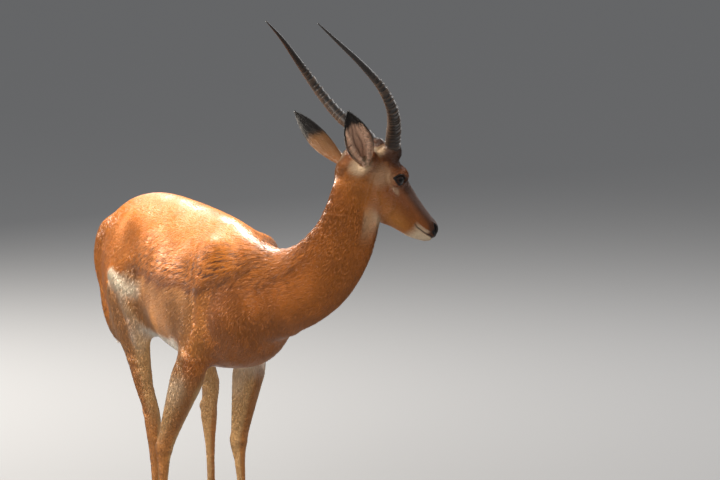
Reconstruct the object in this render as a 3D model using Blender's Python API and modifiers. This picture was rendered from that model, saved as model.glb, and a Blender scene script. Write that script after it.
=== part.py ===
"""Impala ram, standing, life size: the solid construction of a still museum model.

Metres, +Z up, +X forwards, +Y to the animal's left.  The flesh is modelled as lofts and
muscle masses, fused into one form and then parted by thin plane cuts into named nodes.
Horns, ears, eyes, tail and hoof claws are solids of their own, seated in pits.
"""
import math

import bmesh
import bpy
import numpy as np
from mathutils import Matrix, Vector

# ---------------------------------------------------------------- driving dimensions
GAP = 0.0003              # clearance between neighbouring solids
HEAD_YAW = math.radians(95)     # head turned to the animal's left
HEAD_SLOPE = math.radians(50)   # face line below the horizontal
NOSE = Vector((0.258, 0.392, 0.876))   # tip of the nose, measured from below the withers
LEG_TOP = 0.495           # height at which the legs are parted from the trunk
HOOF_TOP = 0.036          # height of the coronet, where the claws meet the skin
HORN_RADIUS = 0.0192      # near the base
EAR_LENGTH = 0.180
EYE_RADIUS = 0.0175
EYE_PLACE = (0.182, 0.0465, -0.029)    # in the head's own frame, mirrored for the right eye

FLESH_VOXEL = 0.0055      # grid on which the masses are fused
FLESH_TRIANGLES = 5020    # of the fused form, before it is parted


# ---------------------------------------------------------------- small helpers
def clear_scene():
    for obj in list(bpy.data.objects):
        bpy.data.objects.remove(obj, do_unlink=True)


def new_collection(name):
    found = bpy.data.collections.new(name)
    bpy.context.scene.collection.children.link(found)
    return found


def material(name, colour, roughness):
    made = bpy.data.materials.new(name)
    made.use_nodes = True
    shader = made.node_tree.nodes["Principled BSDF"]
    shader.inputs["Base Color"].default_value = (*colour, 1)
    shader.inputs["Roughness"].default_value = roughness
    made.diffuse_color = (*colour, 1)
    return made


def put(name, bm, where):
    """Make one object of a bmesh, with its faces turned outwards."""
    bmesh.ops.recalc_face_normals(bm, faces=bm.faces)
    mesh = bpy.data.meshes.new(name)
    bm.to_mesh(mesh)
    bm.free()
    obj = bpy.data.objects.new(name, mesh)
    where.objects.link(obj)
    return obj


def catmull(values, steps):
    """Points on a Catmull-Rom spline through rows of values, `steps` to each span."""
    rows = np.array(values, float)
    padded = np.vstack([2 * rows[0] - rows[1], rows, 2 * rows[-1] - rows[-2]])
    found = []
    for i in range(len(rows) - 1):
        p0, p1, p2, p3 = padded[i:i + 4]
        for t in np.linspace(0, 1, steps, endpoint=False):
            found.append(0.5 * (2 * p1 + (p2 - p0) * t + (2 * p0 - 5 * p1 + 4 * p2 - p3) * t * t
                                + (3 * p1 - p0 - 3 * p2 + p3) * t ** 3))
    found.append(rows[-1])
    return np.array(found)


def skin_rings(rings):
    """A closed loft over rings of points; hand-built, as its sections are all unlike."""
    bm = bmesh.new()
    loops = [[bm.verts.new(p) for p in ring] for ring in rings]
    for low, high in zip(loops, loops[1:]):
        for i in range(len(low)):
            j = (i + 1) % len(low)
            bm.faces.new((low[i], low[j], high[j], high[i]))
    bm.faces.new(loops[0][::-1])
    bm.faces.new(loops[-1])
    return bm


def oval(centre, side, up, half_side, half_up, sides, pinch=0.0, square=1.0):
    """A ring: an oval whose upper half is narrowed by `pinch`, squared off under 1."""
    ring = []
    for k in range(sides):
        a = 2 * math.pi * k / sides
        c, s = math.cos(a), math.sin(a)
        c = math.copysign(abs(c) ** square, c)
        s = math.copysign(abs(s) ** square, s)
        ring.append(Vector(centre) + Vector(side) * (half_side * c * (1 - pinch * s)) + Vector(up) * (half_up * s))
    return ring


# ---------------------------------------------------------------- masses of flesh
def torso(where):
    """Rows: distance from the withers, top, bottom, half width, narrowing of the top."""
    rows = [(-0.682, 0.775, 0.700, 0.030, 0.0),
            (-0.664, 0.812, 0.662, 0.076, 0.0),
            (-0.618, 0.850, 0.622, 0.108, 0.08),
            (-0.545, 0.882, 0.585, 0.122, 0.12),
            (-0.440, 0.894, 0.548, 0.126, 0.12),
            (-0.340, 0.893, 0.530, 0.124, 0.14),
            (-0.240, 0.888, 0.514, 0.130, 0.15),
            (-0.140, 0.882, 0.508, 0.130, 0.19),
            (-0.060, 0.880, 0.510, 0.114, 0.28),
            (0.010, 0.873, 0.520, 0.098, 0.36),
            (0.070, 0.862, 0.535, 0.092, 0.34),
            (0.125, 0.835, 0.572, 0.080, 0.25),
            (0.160, 0.775, 0.635, 0.050, 0.0)]
    rings = []
    for x, top, bottom, half, pinch in catmull(rows, 4):
        centre = (x, 0, (top + bottom) / 2)
        rings.append(oval(centre, (0, 1, 0), (0, 0, 1), half, (top - bottom) / 2, 28, pinch, 0.92))
    return put("mass_torso", skin_rings(rings), where)


def neck(where):
    """Rows: centre, yaw of the section, half width, half depth."""
    rows = [(-0.040, 0.000, 0.712, 0, 0.078, 0.132),
            (0.070, 0.004, 0.708, 5, 0.078, 0.130),
            (0.155, 0.034, 0.724, 25, 0.070, 0.112),
            (0.230, 0.094, 0.770, 50, 0.058, 0.092),
            (0.266, 0.140, 0.846, 72, 0.050, 0.078),
            (0.281, 0.161, 0.920, 86, 0.047, 0.068),
            (0.284, 0.173, 0.985, 93, 0.045, 0.063)]
    found = catmull(rows, 4)
    rings = []
    for i, (x, y, z, yaw, half_width, half_depth) in enumerate(found):
        before, after = found[max(i - 1, 0)][:3], found[min(i + 1, len(found) - 1)][:3]
        along = Vector(after - before).normalized()
        yaw = math.radians(yaw)
        lean = Vector((-0.8 * math.cos(yaw), -0.8 * math.sin(yaw), 0.6))
        up = (lean - along * lean.dot(along)).normalized()
        rings.append(oval((x, y, z), along.cross(up), up, half_width, half_depth, 24, 0.12))
    return put("mass_neck", skin_rings(rings), where)


def head_frame():
    """Matrix of the head: +X back along the face from the nose, +Y left, +Z up off the face."""
    ahead = Vector((math.cos(HEAD_YAW), math.sin(HEAD_YAW), 0))
    up = Vector((0, 0, 1))
    back = up * math.sin(HEAD_SLOPE) - ahead * math.cos(HEAD_SLOPE)
    off = up * math.cos(HEAD_SLOPE) + ahead * math.sin(HEAD_SLOPE)
    left = up.cross(ahead)
    turn = Matrix((back, left, off)).transposed().to_4x4()
    return Matrix.Translation(NOSE) @ turn


def head_mass(where):
    """Rows: distance behind the nose, top, bottom, half width, narrowing of the top."""
    rows = [(-0.0160, -0.014, -0.036, 0.012, 0.0),
            (-0.0100, -0.002, -0.050, 0.020, 0.0),
            (0.0050, 0.003, -0.060, 0.0245, 0.0),
            (0.0300, 0.003, -0.075, 0.0255, 0.10),
            (0.0700, 0.004, -0.089, 0.0275, 0.22),
            (0.1050, 0.006, -0.106, 0.0335, 0.22),
            (0.1450, 0.010, -0.128, 0.0415, 0.10),
            (0.1850, 0.018, -0.135, 0.0470, 0.0),
            (0.2200, 0.024, -0.140, 0.0475, 0.0),
            (0.2450, 0.010, -0.138, 0.0450, 0.0),
            (0.2680, -0.014, -0.128, 0.0410, 0.0),
            (0.2870, -0.045, -0.112, 0.0320, 0.0)]
    to_world = head_frame()
    side, up = to_world.to_3x3() @ Vector((0, 1, 0)), to_world.to_3x3() @ Vector((0, 0, 1))
    rings = []
    for x, top, bottom, half, pinch in catmull(rows, 4):
        centre = to_world @ Vector((x, 0, (top + bottom) / 2))
        rings.append(oval(centre, side, up, half, (top - bottom) / 2, 24, pinch, 0.9))
    return put("mass_head", skin_rings(rings), where)


def ball(name, matrix, radii, where):
    bm = bmesh.new()
    bmesh.ops.create_uvsphere(bm, u_segments=16, v_segments=10, radius=1)
    bmesh.ops.transform(bm, matrix=matrix @ Matrix.Diagonal((*radii, 1)), verts=bm.verts)
    return put(name, bm, where)


def leg(name, rows, where, sides=16):
    """Rows: centre, half fore-and-aft, half sideways.  Sections lie across the limb's own run."""
    found = catmull(rows, 4)
    rings = []
    for i, row in enumerate(found):
        before, after = found[max(i - 1, 0)][:3], found[min(i + 1, len(found) - 1)][:3]
        along = Vector(before - after).normalized()
        fore = Vector((1, 0, 0))
        fore = (fore - along * fore.dot(along)).normalized()
        rings.append(oval(row[:3], along.cross(fore), fore, row[4], row[3], sides))
    return put(name, skin_rings(rings), where)


# Where each limb's joints stand: elbow, knee and fetlock in front; thigh, hock, fetlock behind.
FORE = {"right": dict(elbow=(-0.062, -0.094), knee=(-0.158, -0.134), foot=(-0.160, -0.137)),
        "left": dict(elbow=(-0.120, 0.084), knee=(-0.158, 0.064), foot=(-0.130, 0.068))}
HIND = {"right": dict(stifle=(-0.402, -0.106), hock=(-0.402, -0.060), foot=(-0.372, -0.062)),
        "left": dict(stifle=(-0.396, 0.106), hock=(-0.418, 0.100), foot=(-0.388, 0.094))}


def between(a, b, t):
    return a[0] + (b[0] - a[0]) * t, a[1] + (b[1] - a[1]) * t


def foreleg_rows(side):
    elbow, knee, foot = (FORE[side][key] for key in ("elbow", "knee", "foot"))
    s = -1 if side == "right" else 1
    top = (-0.020, s * 0.070)
    rows = [(*top, 0.775, 0.050, 0.030),
            (*between(top, elbow, 0.35), 0.700, 0.082, 0.038),
            (*between(top, elbow, 0.70), 0.620, 0.084, 0.040),
            (*elbow, 0.550, 0.058, 0.037),
            (*between(elbow, knee, 0.22), 0.495, 0.056, 0.036),
            (*between(elbow, knee, 0.60), 0.405, 0.036, 0.0290),
            (*between(elbow, knee, 0.90), 0.333, 0.0235, 0.0225),
            (*knee, 0.305, 0.0225, 0.0215),
            (*between(knee, foot, 0.15), 0.270, 0.0180, 0.0165),
            (*between(knee, foot, 0.50), 0.200, 0.0135, 0.0120),
            (*between(knee, foot, 0.85), 0.137, 0.0145, 0.0135),
            (*foot, 0.112, 0.0190, 0.0175),
            (foot[0] + 0.014, foot[1], 0.076, 0.0155, 0.0160),
            (foot[0] + 0.026, foot[1], 0.044, 0.0215, 0.0205),
            (foot[0] + 0.032, foot[1], 0.026, 0.0230, 0.0205)]
    return rows


def hindleg_rows(side):
    stifle, hock, foot = (HIND[side][key] for key in ("stifle", "hock", "foot"))
    s = -1 if side == "right" else 1
    hip = (-0.535, s * 0.074)
    rows = [(*hip, 0.805, 0.080, 0.040),
            (*between(hip, stifle, 0.35), 0.725, 0.120, 0.055),
            (*between(hip, stifle, 0.70), 0.640, 0.118, 0.052),
            (stifle[0] - 0.041, stifle[1] - s * 0.013, 0.560, 0.092, 0.042),
            (stifle[0] - 0.036, stifle[1] - s * 0.024, 0.490, 0.050, 0.027),
            (stifle[0] - 0.020, *between(stifle, hock, 0.70)[1:], 0.415, 0.034, 0.0210),
            (*between(stifle, hock, 0.92), 0.357, 0.029, 0.0185),
            (*hock, 0.325, 0.0275, 0.0200),
            (*between(hock, foot, 0.16), 0.285, 0.0205, 0.0165),
            (*between(hock, foot, 0.50), 0.210, 0.0145, 0.0125),
            (*between(hock, foot, 0.86), 0.137, 0.0150, 0.0135),
            (*foot, 0.112, 0.0190, 0.0170),
            (foot[0] + 0.014, foot[1], 0.076, 0.0150, 0.0155),
            (foot[0] + 0.025, foot[1], 0.044, 0.0205, 0.0195),
            (foot[0] + 0.031, foot[1], 0.026, 0.0220, 0.0195)]
    return rows


def muscles(where):
    """Shoulders, haunches, cheeks, eye sockets and horn stumps that swell from the lofts."""
    found = []
    for s, side in ((-1, "right"), (1, "left")):
        def add(name, place, radii, turn=Matrix.Identity(4)):
            matrix = Matrix.Translation(place) @ turn
            found.append(ball(f"mass_{name}_{side}", matrix, radii, where))
        add("blade", (-0.020, s * 0.070, 0.735), (0.075, 0.034, 0.120), Matrix.Rotation(0.35, 4, "Y"))
        add("point", (0.070, s * 0.068, 0.650), (0.060, 0.042, 0.060))
        add("hip", (-0.440, s * 0.074, 0.815), (0.075, 0.046, 0.050))
        add("seat", (-0.606, s * 0.070, 0.712), (0.068, 0.060, 0.115), Matrix.Rotation(-0.12, 4, "Y"))
        add("ham", (-0.560, s * 0.090, 0.610), (0.060, 0.038, 0.110), Matrix.Rotation(-0.45, 4, "Y"))
        face = head_frame()
        found.append(ball(f"mass_orbit_{side}", face @ Matrix.Translation((0.182, s * 0.038, -0.020)),
                          (0.030, 0.0235, 0.026), where))
        found.append(ball(f"mass_stump_{side}", face @ Matrix.Translation((0.232, s * 0.030, 0.004)),
                          (0.029, 0.025, 0.029), where))
        found.append(ball(f"mass_cheek_{side}", face @ Matrix.Translation((0.172, s * 0.026, -0.078)),
                          (0.060, 0.021, 0.036), where))
        found.append(ball(f"mass_earseat_{side}", face @ Matrix.Translation((0.262, s * 0.038, -0.056)),
                          (0.024, 0.022, 0.030), where))
    found.append(ball("mass_purse", Matrix.Translation((-0.520, 0, 0.572)), (0.022, 0.022, 0.044), where))
    found.append(ball("mass_sheath", Matrix.Translation((-0.330, 0, 0.545)), (0.055, 0.013, 0.016), where))
    return found


def fuse(masses, where):
    """Join the masses, remesh them as one skin, smooth it and thin its triangles."""
    bm = bmesh.new()
    for obj in masses:
        bm.from_mesh(obj.data)
        bpy.data.objects.remove(obj, do_unlink=True)
    flesh = put("flesh", bm, where)
    flesh.modifiers.new("fuse", "REMESH").mode = "VOXEL"
    flesh.modifiers["fuse"].voxel_size = FLESH_VOXEL
    bake(flesh)
    broad = flesh.vertex_groups.new(name="broad")
    for vert in flesh.data.vertices:
        x, y, z = vert.co
        inside = min(max((z - 0.50) / 0.06, 0), 1) * min(max((0.27 - x - 0.8 * y) / 0.10, 0), 1)
        broad.add([vert.index], inside, "REPLACE")
    soften = flesh.modifiers.new("soften", "SMOOTH")
    soften.factor, soften.iterations = 0.5, 5
    ease = flesh.modifiers.new("ease", "SMOOTH")
    ease.factor, ease.iterations, ease.vertex_group = 0.8, 60, "broad"
    bake(flesh)
    thin = flesh.modifiers.new("thin", "DECIMATE")
    thin.ratio = FLESH_TRIANGLES / (2 * len(flesh.data.polygons))
    bake(flesh)
    return flesh


def bake(obj):
    """Replace an object's mesh with what its modifiers make of it."""
    seen = obj.evaluated_get(bpy.context.evaluated_depsgraph_get())
    mesh = bpy.data.meshes.new_from_object(seen)
    obj.modifiers.clear()
    obj.data = mesh


# ---------------------------------------------------------------- parting the flesh
def slab(name, place, outward, cutters, size=3.0):
    """A big box whose one face passes through `place` and which fills the side `outward`."""
    turn = Vector(outward).to_track_quat("Z", "Y").to_matrix().to_4x4()
    bm = bmesh.new()
    bmesh.ops.create_cube(bm, size=size)
    shift = Matrix.Translation((0, 0, size / 2))
    bmesh.ops.transform(bm, matrix=Matrix.Translation(place) @ turn @ shift, verts=bm.verts)
    obj = put(name, bm, cutters)
    obj.hide_render = True
    obj.display_type = "WIRE"
    return obj


def carve(obj, cutter, operation="DIFFERENCE"):
    cut = obj.modifiers.new("cut", "BOOLEAN")
    cut.operation, cut.object, cut.solver = operation, cutter, "EXACT"
    bake(obj)


def part_off(source, name, place, outward, where, cutters, gap=GAP):
    """Cut `source` across at a plane; what lies on the outward side becomes a new object."""
    place, outward = Vector(place), Vector(outward).normalized()
    piece = source.copy()
    piece.data = source.data.copy()
    piece.name = name
    where.objects.link(piece)
    keep = slab(name + "_side", place + outward * gap / 2, outward, cutters)
    carve(piece, keep, "INTERSECT")
    gone = slab(name + "_cut", place - outward * gap / 2, outward, cutters)
    carve(source, gone)
    return piece


def swollen(obj, cutters):
    """A hidden copy of an object, grown all round by the clearance."""
    bm = bmesh.new()
    bm.from_mesh(obj.data)
    for vert, normal in [(v, v.normal.copy()) for v in bm.verts]:
        vert.co += normal * 1.6 * GAP
    grown = put(obj.name + "_swollen", bm, cutters)
    grown.hide_render, grown.display_type = True, "WIRE"
    return grown


def drop_crumbs(obj):
    """Keep only the largest body of an object, where a pit has cut off loose crumbs."""
    bm = bmesh.new()
    bm.from_mesh(obj.data)
    bmesh.ops.remove_doubles(bm, verts=bm.verts, dist=1e-6)
    left, bodies = set(bm.verts), []
    while left:
        front, body = [left.pop()], []
        while front:
            vert = front.pop()
            body.append(vert)
            for edge in vert.link_edges:
                other = edge.other_vert(vert)
                if other in left:
                    left.discard(other)
                    front.append(other)
        bodies.append(body)
    bodies.sort(key=len, reverse=True)
    for body in bodies[1:]:
        bmesh.ops.delete(bm, geom=body, context="VERTS")
    bm.to_mesh(obj.data)
    bm.free()


# ---------------------------------------------------------------- horns, ears, eyes, tail, claws
def upright_frame(place):
    """Matrix at a point of the head's own frame: +X straight back, +Y left, +Z straight up."""
    ahead = Vector((math.cos(HEAD_YAW), math.sin(HEAD_YAW), 0))
    up = Vector((0, 0, 1))
    turn = Matrix((-ahead, up.cross(ahead), up)).transposed().to_4x4()
    return Matrix.Translation(head_frame() @ Vector(place)) @ turn


def tube_along(name, points, radii, squeeze, sides, where):
    """A round-sectioned horn-like solid along points; `squeeze` flattens it sideways."""
    rings = []
    for i, (point, radius) in enumerate(zip(points, radii)):
        along = (points[min(i + 1, len(points) - 1)] - points[max(i - 1, 0)]).normalized()
        fore = Vector((math.cos(HEAD_YAW), math.sin(HEAD_YAW), 0))
        fore = (fore - along * fore.dot(along)).normalized()
        rings.append(oval(point, along.cross(fore), fore, radius * squeeze, radius, sides))
    return put(name, skin_rings(rings), where)


def horn(name, s, where):
    """Lyre-shaped horn.  Rows: backwards, sideways, upwards from the crown between the horns."""
    right = [(0.008, 0.029, -0.026), (0.006, 0.036, 0.008), (0.017, 0.060, 0.045), (0.043, 0.103, 0.080),
             (0.078, 0.146, 0.120), (0.119, 0.167, 0.168), (0.164, 0.161, 0.217), (0.211, 0.139, 0.266),
             (0.254, 0.119, 0.310)]
    # The left horn sweeps out a little lower.
    left = [(0.008, 0.029, -0.026), (0.010, 0.039, 0.003), (0.025, 0.065, 0.035), (0.054, 0.110, 0.067),
            (0.082, 0.148, 0.116), (0.116, 0.165, 0.170), (0.158, 0.1575, 0.221), (0.2065, 0.136, 0.269),
            (0.254, 0.119, 0.310)]
    rows = {1: left, -1: right}[s]
    rise = {1: 0.975, -1: 1.012}[s]
    frame = upright_frame((0.232, 0, 0.014))
    points = [frame @ Vector((x, s * y, rise * z)) for x, y, z in catmull(rows, 2)]
    radii = [HORN_RADIUS * ((1 - t ** 1.1) ** 0.85 + 0.1) for t in np.linspace(0, 1, len(points))]
    return tube_along(name, points, radii, 0.92, 10, where)


def ear(name, s, where):
    """A leaf-shaped, cupped shell.  Rows: share of the length, half width, cup angle in degrees."""
    rows = [(0.00, 0.012, 150), (0.12, 0.017, 140), (0.28, 0.025, 105), (0.44, 0.033, 85),
            (0.60, 0.035, 76), (0.76, 0.029, 68), (0.89, 0.017, 60), (1.00, 0.004, 50)]
    lean = {1: Vector((0.60, 0.40, 0.75)), -1: Vector((0.50, -0.40, 0.80))}[s].normalized()
    facing = {1: Vector((-0.80, 0.55, 0.25)), -1: Vector((0.36, -0.90, 0.1))}[s]
    slim = {1: 0.80, -1: 1.0}[s]
    bow = {1: 0.018, -1: 0.0}[s]           # how far the middle of the ear hangs below its ends
    frame = upright_frame((0.266, s * 0.044, -0.068))
    opens = (facing - lean * facing.dot(lean)).normalized()
    across = lean.cross(opens)
    hang = across * (-bow if across.z > 0 else bow)
    thick, arms = 0.0034, 6
    rings = []
    for share, half, cup in catmull(rows, 2):
        cup = math.radians(cup)
        radius = slim * half / math.sin(min(cup, math.pi / 2))
        middle = lean * (EAR_LENGTH * share - 0.018) + opens * (radius - 0.012)
        middle += hang * math.sin(math.pi * min(share, 1))
        ring = []
        for wall, order in ((radius, 1), (max(radius - thick, 0.001), -1)):
            for k in range(arms)[::order]:
                a = math.pi + cup * (2 * k / (arms - 1) - 1)
                ring.append(frame @ (middle + (opens * math.cos(a) + across * math.sin(a)) * wall))
        rings.append(ring)
    return put(name, skin_rings(rings), where)


def eye(name, s, where):
    place = Vector((EYE_PLACE[0], s * EYE_PLACE[1], EYE_PLACE[2]))
    matrix = head_frame() @ Matrix.Translation(place)
    return ball(name, matrix, (EYE_RADIUS,) * 3, where)


def tail(name, where):
    """Rows: centre, half thickness, half width."""
    rows = [(-0.640, 0, 0.836, 0.016, 0.020), (-0.674, 0, 0.826, 0.016, 0.020),
            (-0.697, 0, 0.790, 0.014, 0.020), (-0.708, 0, 0.730, 0.012, 0.022),
            (-0.712, 0, 0.660, 0.012, 0.026), (-0.712, 0, 0.600, 0.010, 0.021),
            (-0.710, 0, 0.560, 0.004, 0.006)]
    rings = []
    found = catmull(rows, 2)
    for i, (x, y, z, thick, wide) in enumerate(found):
        before, after = Vector(found[max(i - 1, 0)][:3]), Vector(found[min(i + 1, len(found) - 1)][:3])
        along = (after - before).normalized()
        side = Vector((0, 1, 0))
        rings.append(oval((x, y, z), side, along.cross(side), wide, thick, 10))
    return put(name, skin_rings(rings), where)


def claw(name, foot, s, size, where):
    """One toe: `s` is -1 or +1 for the right or left toe, `foot` the middle of the fetlock."""
    length, width = size
    rings = []
    for height, ahead, half_length, half_width in (
            (HOOF_TOP - GAP, 0.026, 0.0205, 0.0092), (0.022, 0.030, 0.0245, 0.0098),
            (0.006, 0.034, 0.0285, 0.0100), (0.0, 0.034, 0.0275, 0.0095)):
        ring = []
        for k in range(12):
            a = 2 * math.pi * k / 12
            taper = 1 - 0.42 * max(0.0, math.cos(a)) ** 2
            x = foot[0] + (ahead + half_length * math.cos(a)) * length
            y = foot[1] + s * 0.0103 * width + half_width * width * math.sin(a) * taper
            ring.append(Vector((x, y, height)))
        rings.append(ring)
    return put(name, skin_rings(rings), where)


def dress(model):
    """One Principled material for each node, by the kind of thing it is."""
    kinds = {"horn": ((0.060, 0.045, 0.036), 0.42), "hoof": ((0.030, 0.026, 0.024), 0.38),
             "eye": ((0.012, 0.008, 0.006), 0.06), "ear": ((0.420, 0.250, 0.160), 0.75),
             "tail": ((0.700, 0.620, 0.520), 0.80), "head": ((0.330, 0.145, 0.060), 0.70),
             "neck": ((0.400, 0.180, 0.070), 0.70), "trunk": ((0.520, 0.235, 0.080), 0.65),
             "foreleg": ((0.430, 0.230, 0.110), 0.72), "hindleg": ((0.430, 0.230, 0.110), 0.72)}
    for obj in model.objects:
        colour, roughness = kinds[obj.name.split("_")[0]]
        obj.data.materials.clear()
        obj.data.materials.append(material(obj.name, colour, roughness))
        obj.data.shade_smooth()


def centre_on_floor(model):
    """Move all pieces so that the middle of the underside of their box is the origin."""
    corners = np.array([vert.co for obj in model.objects for vert in obj.data.vertices])
    low, high = corners.min(axis=0), corners.max(axis=0)
    shift = Matrix.Translation((-(low[0] + high[0]) / 2, -(low[1] + high[1]) / 2, -low[2]))
    for obj in model.objects:
        obj.data.transform(shift)


def main():
    clear_scene()
    model = new_collection("impala_ram")
    cutters = new_collection("cutters")
    masses = [torso(model), neck(model), head_mass(model)] + muscles(model)
    for side in ("right", "left"):
        masses.append(leg(f"mass_foreleg_{side}", foreleg_rows(side), model))
        masses.append(leg(f"mass_hindleg_{side}", hindleg_rows(side), model))
    trunk = fuse(masses, model)
    trunk.name = "trunk"

    legs = part_off(trunk, "legs", (0, 0, LEG_TOP), (0, 0, -1), model, cutters)
    carve(legs, slab("ground_cut", (0, 0, HOOF_TOP), (0, 0, -1), cutters))
    hinds = part_off(legs, "hindleg_left", (-0.25, 0, 0), (-1, 0, 0), model, cutters)
    part_off(hinds, "hindleg_right", (0, 0, 0), (0, -1, 0), model, cutters)
    part_off(legs, "foreleg_right", (0, 0, 0), (0, -1, 0), model, cutters)
    legs.name = "foreleg_left"

    collar = part_off(trunk, "neck", (0.115, 0.010, 0.760), (0.86, 0.35, 0.36), model, cutters)
    face = upright_frame((0, 0, 0))
    nape, throat = face @ Vector((0.268, 0, 0.120)), face @ Vector((0.158, 0, -0.030))
    ahead = (face.to_3x3() @ Vector((0, 1, 0))).cross(nape - throat)
    skull = part_off(collar, "head", nape, ahead, model, cutters)

    for s, name in ((-1, "right"), (1, "left")):
        carve(skull, swollen(eye(f"eye_{name}", s, model), cutters))
    drop_crumbs(skull)
    round_skull, round_trunk = swollen(skull, cutters), swollen(trunk, cutters)
    for s, name in ((-1, "right"), (1, "left")):
        for shape, label in ((horn, "horn"), (ear, "ear")):
            piece = shape(f"{label}_{name}", s, model)
            carve(piece, round_skull)
            drop_crumbs(piece)
    brush = tail("tail", model)
    carve(brush, round_trunk)
    drop_crumbs(brush)
    for limb, feet, size in (("fore", FORE, (1.0, 1.0)), ("hind", HIND, (0.94, 0.95))):
        for name in feet:
            for s, toe in ((-1, "right"), (1, "left")):
                claw(f"hoof_{limb}_{name}_{toe}_toe", feet[name]["foot"], s, size, model)
    for obj in list(cutters.objects):
        bpy.data.objects.remove(obj, do_unlink=True)
    dress(model)
    centre_on_floor(model)


main()
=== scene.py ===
"""Impala ram, standing with its head turned: skin, coat, horns, ears, eyes and hooves.

Metres, +Z up.  Two frames of reference are used.  Body coordinates are measured from the
floor below the withers: +X forwards, +Y to the animal's left.  Face coordinates are measured
from the tip of the nose: +X back along the face, +Y left, +Z up off the face.
"""
import logging
import math
from dataclasses import dataclass, field
from enum import Enum
from typing import Any, Callable, Sequence

import bmesh
import bpy
import numpy as np
from bmesh.types import BMesh
from bpy.types import Material, Mesh, Node, NodeSocket, NodeTree, Object
from mathutils import Matrix, Vector
from mathutils.kdtree import KDTree

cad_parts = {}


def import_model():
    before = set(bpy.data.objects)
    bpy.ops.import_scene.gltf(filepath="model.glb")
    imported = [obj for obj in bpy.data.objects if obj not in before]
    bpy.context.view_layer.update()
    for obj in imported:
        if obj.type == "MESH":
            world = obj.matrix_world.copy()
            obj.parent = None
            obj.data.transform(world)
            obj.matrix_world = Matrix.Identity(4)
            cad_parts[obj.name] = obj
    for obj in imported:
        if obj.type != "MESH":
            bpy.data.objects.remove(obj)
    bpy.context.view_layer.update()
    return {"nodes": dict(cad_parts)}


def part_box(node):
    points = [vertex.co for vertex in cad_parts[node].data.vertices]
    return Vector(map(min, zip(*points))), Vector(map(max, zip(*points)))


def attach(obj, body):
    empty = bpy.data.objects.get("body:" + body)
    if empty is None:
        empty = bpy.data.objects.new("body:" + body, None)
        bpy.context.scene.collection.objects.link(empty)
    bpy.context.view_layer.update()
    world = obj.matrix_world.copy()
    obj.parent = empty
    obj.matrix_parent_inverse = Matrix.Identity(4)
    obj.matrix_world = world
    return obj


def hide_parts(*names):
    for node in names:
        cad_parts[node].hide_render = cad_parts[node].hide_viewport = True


Array = np.ndarray
Shade = tuple[float, float, float]
Rows = Sequence[Sequence[float]]
Values = dict[Any, Any]          # a node's inputs, by name or number
LOG = logging.getLogger("impala")
SIDES = {"left": 1, "right": -1}
LIMBS = ("foreleg_left", "foreleg_right", "hindleg_left", "hindleg_right")
FLESH = ("trunk", "neck", "head", "tail", "ear_left", "ear_right") + LIMBS


# ---- numbers and colours
def linear(code: str) -> Shade:
    """Turn an sRGB hex colour into linear values.

    Args:
        code: six hex digits, without a hash.

    Returns:
        Linear red, green and blue.
    """
    found = []
    for start in (0, 2, 4):
        value = int(code[start:start + 2], 16) / 255
        found.append(value / 12.92 if value <= 0.04045 else ((value + 0.055) / 1.055) ** 2.4)
    return found[0], found[1], found[2]


def ramp(low: float, high: float, value: Array) -> Array:
    """A soft step from 0 at `low` to 1 at `high`, in either order."""
    share = np.clip((value - low) / (high - low), 0, 1)
    return share * share * (3 - 2 * share)


def bump_at(value: Array, middle: float, width: float) -> Array:
    """A bell of height 1 round `middle`, about `width` to each side."""
    return np.exp(-((value - middle) / width) ** 2)


def unit(vectors: Array) -> Array:
    """Scale each row to length 1."""
    size = np.linalg.norm(vectors, axis=-1, keepdims=True)
    return vectors / np.maximum(size, 1e-9)


def distance(points: Array, spot: Sequence[float], stretch: Sequence[float] = (1, 1, 1)) -> Array:
    """How far points lie from a spot, with each axis weighed by `stretch`."""
    return np.linalg.norm((points - np.asarray(spot)) * stretch, axis=1)


def turn_share(across: Array, along: Array) -> Array:
    """Angle from `along` towards `across`, as a share of a turn, 0.5 on `along` itself."""
    return np.arctan2(across, along) / math.tau + 0.5


def plain(shade: Shade, count: int) -> Array:
    """Rows of one colour."""
    return np.tile(np.array(shade), (count, 1))


def blend(base: Array, *layers: tuple[Any, Array]) -> Array:
    """Mix rows of colour towards one shade after another.

    Args:
        base: rows of colour.
        layers: a colour, or rows of it, and how far each row goes towards it, 0 to 1.

    Returns:
        The mixed rows.
    """
    for shade, share in layers:
        base = base + (np.asarray(shade) - base) * share[:, None]
    return base


def waves(points: Array, length: float, seed: int, stretch: Sequence[float] = (1, 1, 1)) -> Array:
    """Smooth irregular noise from a few crossing waves.

    Args:
        points: where to read it.
        length: typical wavelength in metres.
        seed: which noise.
        stretch: wavelength factors along X, Y and Z.

    Returns:
        Values of about -1 to 1.
    """
    draw = np.random.default_rng(seed)
    total = np.zeros(len(points))
    for _ in range(7):
        way = unit(draw.normal(size=3)) / (length * np.asarray(stretch)) * draw.uniform(0.7, 1.5)
        total += np.sin(points @ (way * math.tau) + draw.uniform(0, math.tau))
    return total / 2.6


def along_line(points: Array, line: Rows) -> tuple[Array, Array]:
    """Measure points against a line of straight pieces.

    Args:
        points: rows of as many numbers as the line's corners have.
        line: the line's corners.

    Returns:
        Distance from the line, and the share of its length where that is met.
    """
    corners = np.array(line, float)
    spans = np.linalg.norm(np.diff(corners, axis=0), axis=1)
    starts = np.concatenate([[0], np.cumsum(spans)])
    best, share = np.full(len(points), 1e9), np.zeros(len(points))
    for a, b, start, span in zip(corners, corners[1:], starts, spans):
        t = np.clip((points - a) @ (b - a) / span ** 2, 0, 1)
        far = np.linalg.norm(points - (a + t[:, None] * (b - a)), axis=1)
        nearer = far < best
        best[nearer] = far[nearer]
        share[nearer] = (start + t[nearer] * span) / starts[-1]
    return best, share


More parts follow.
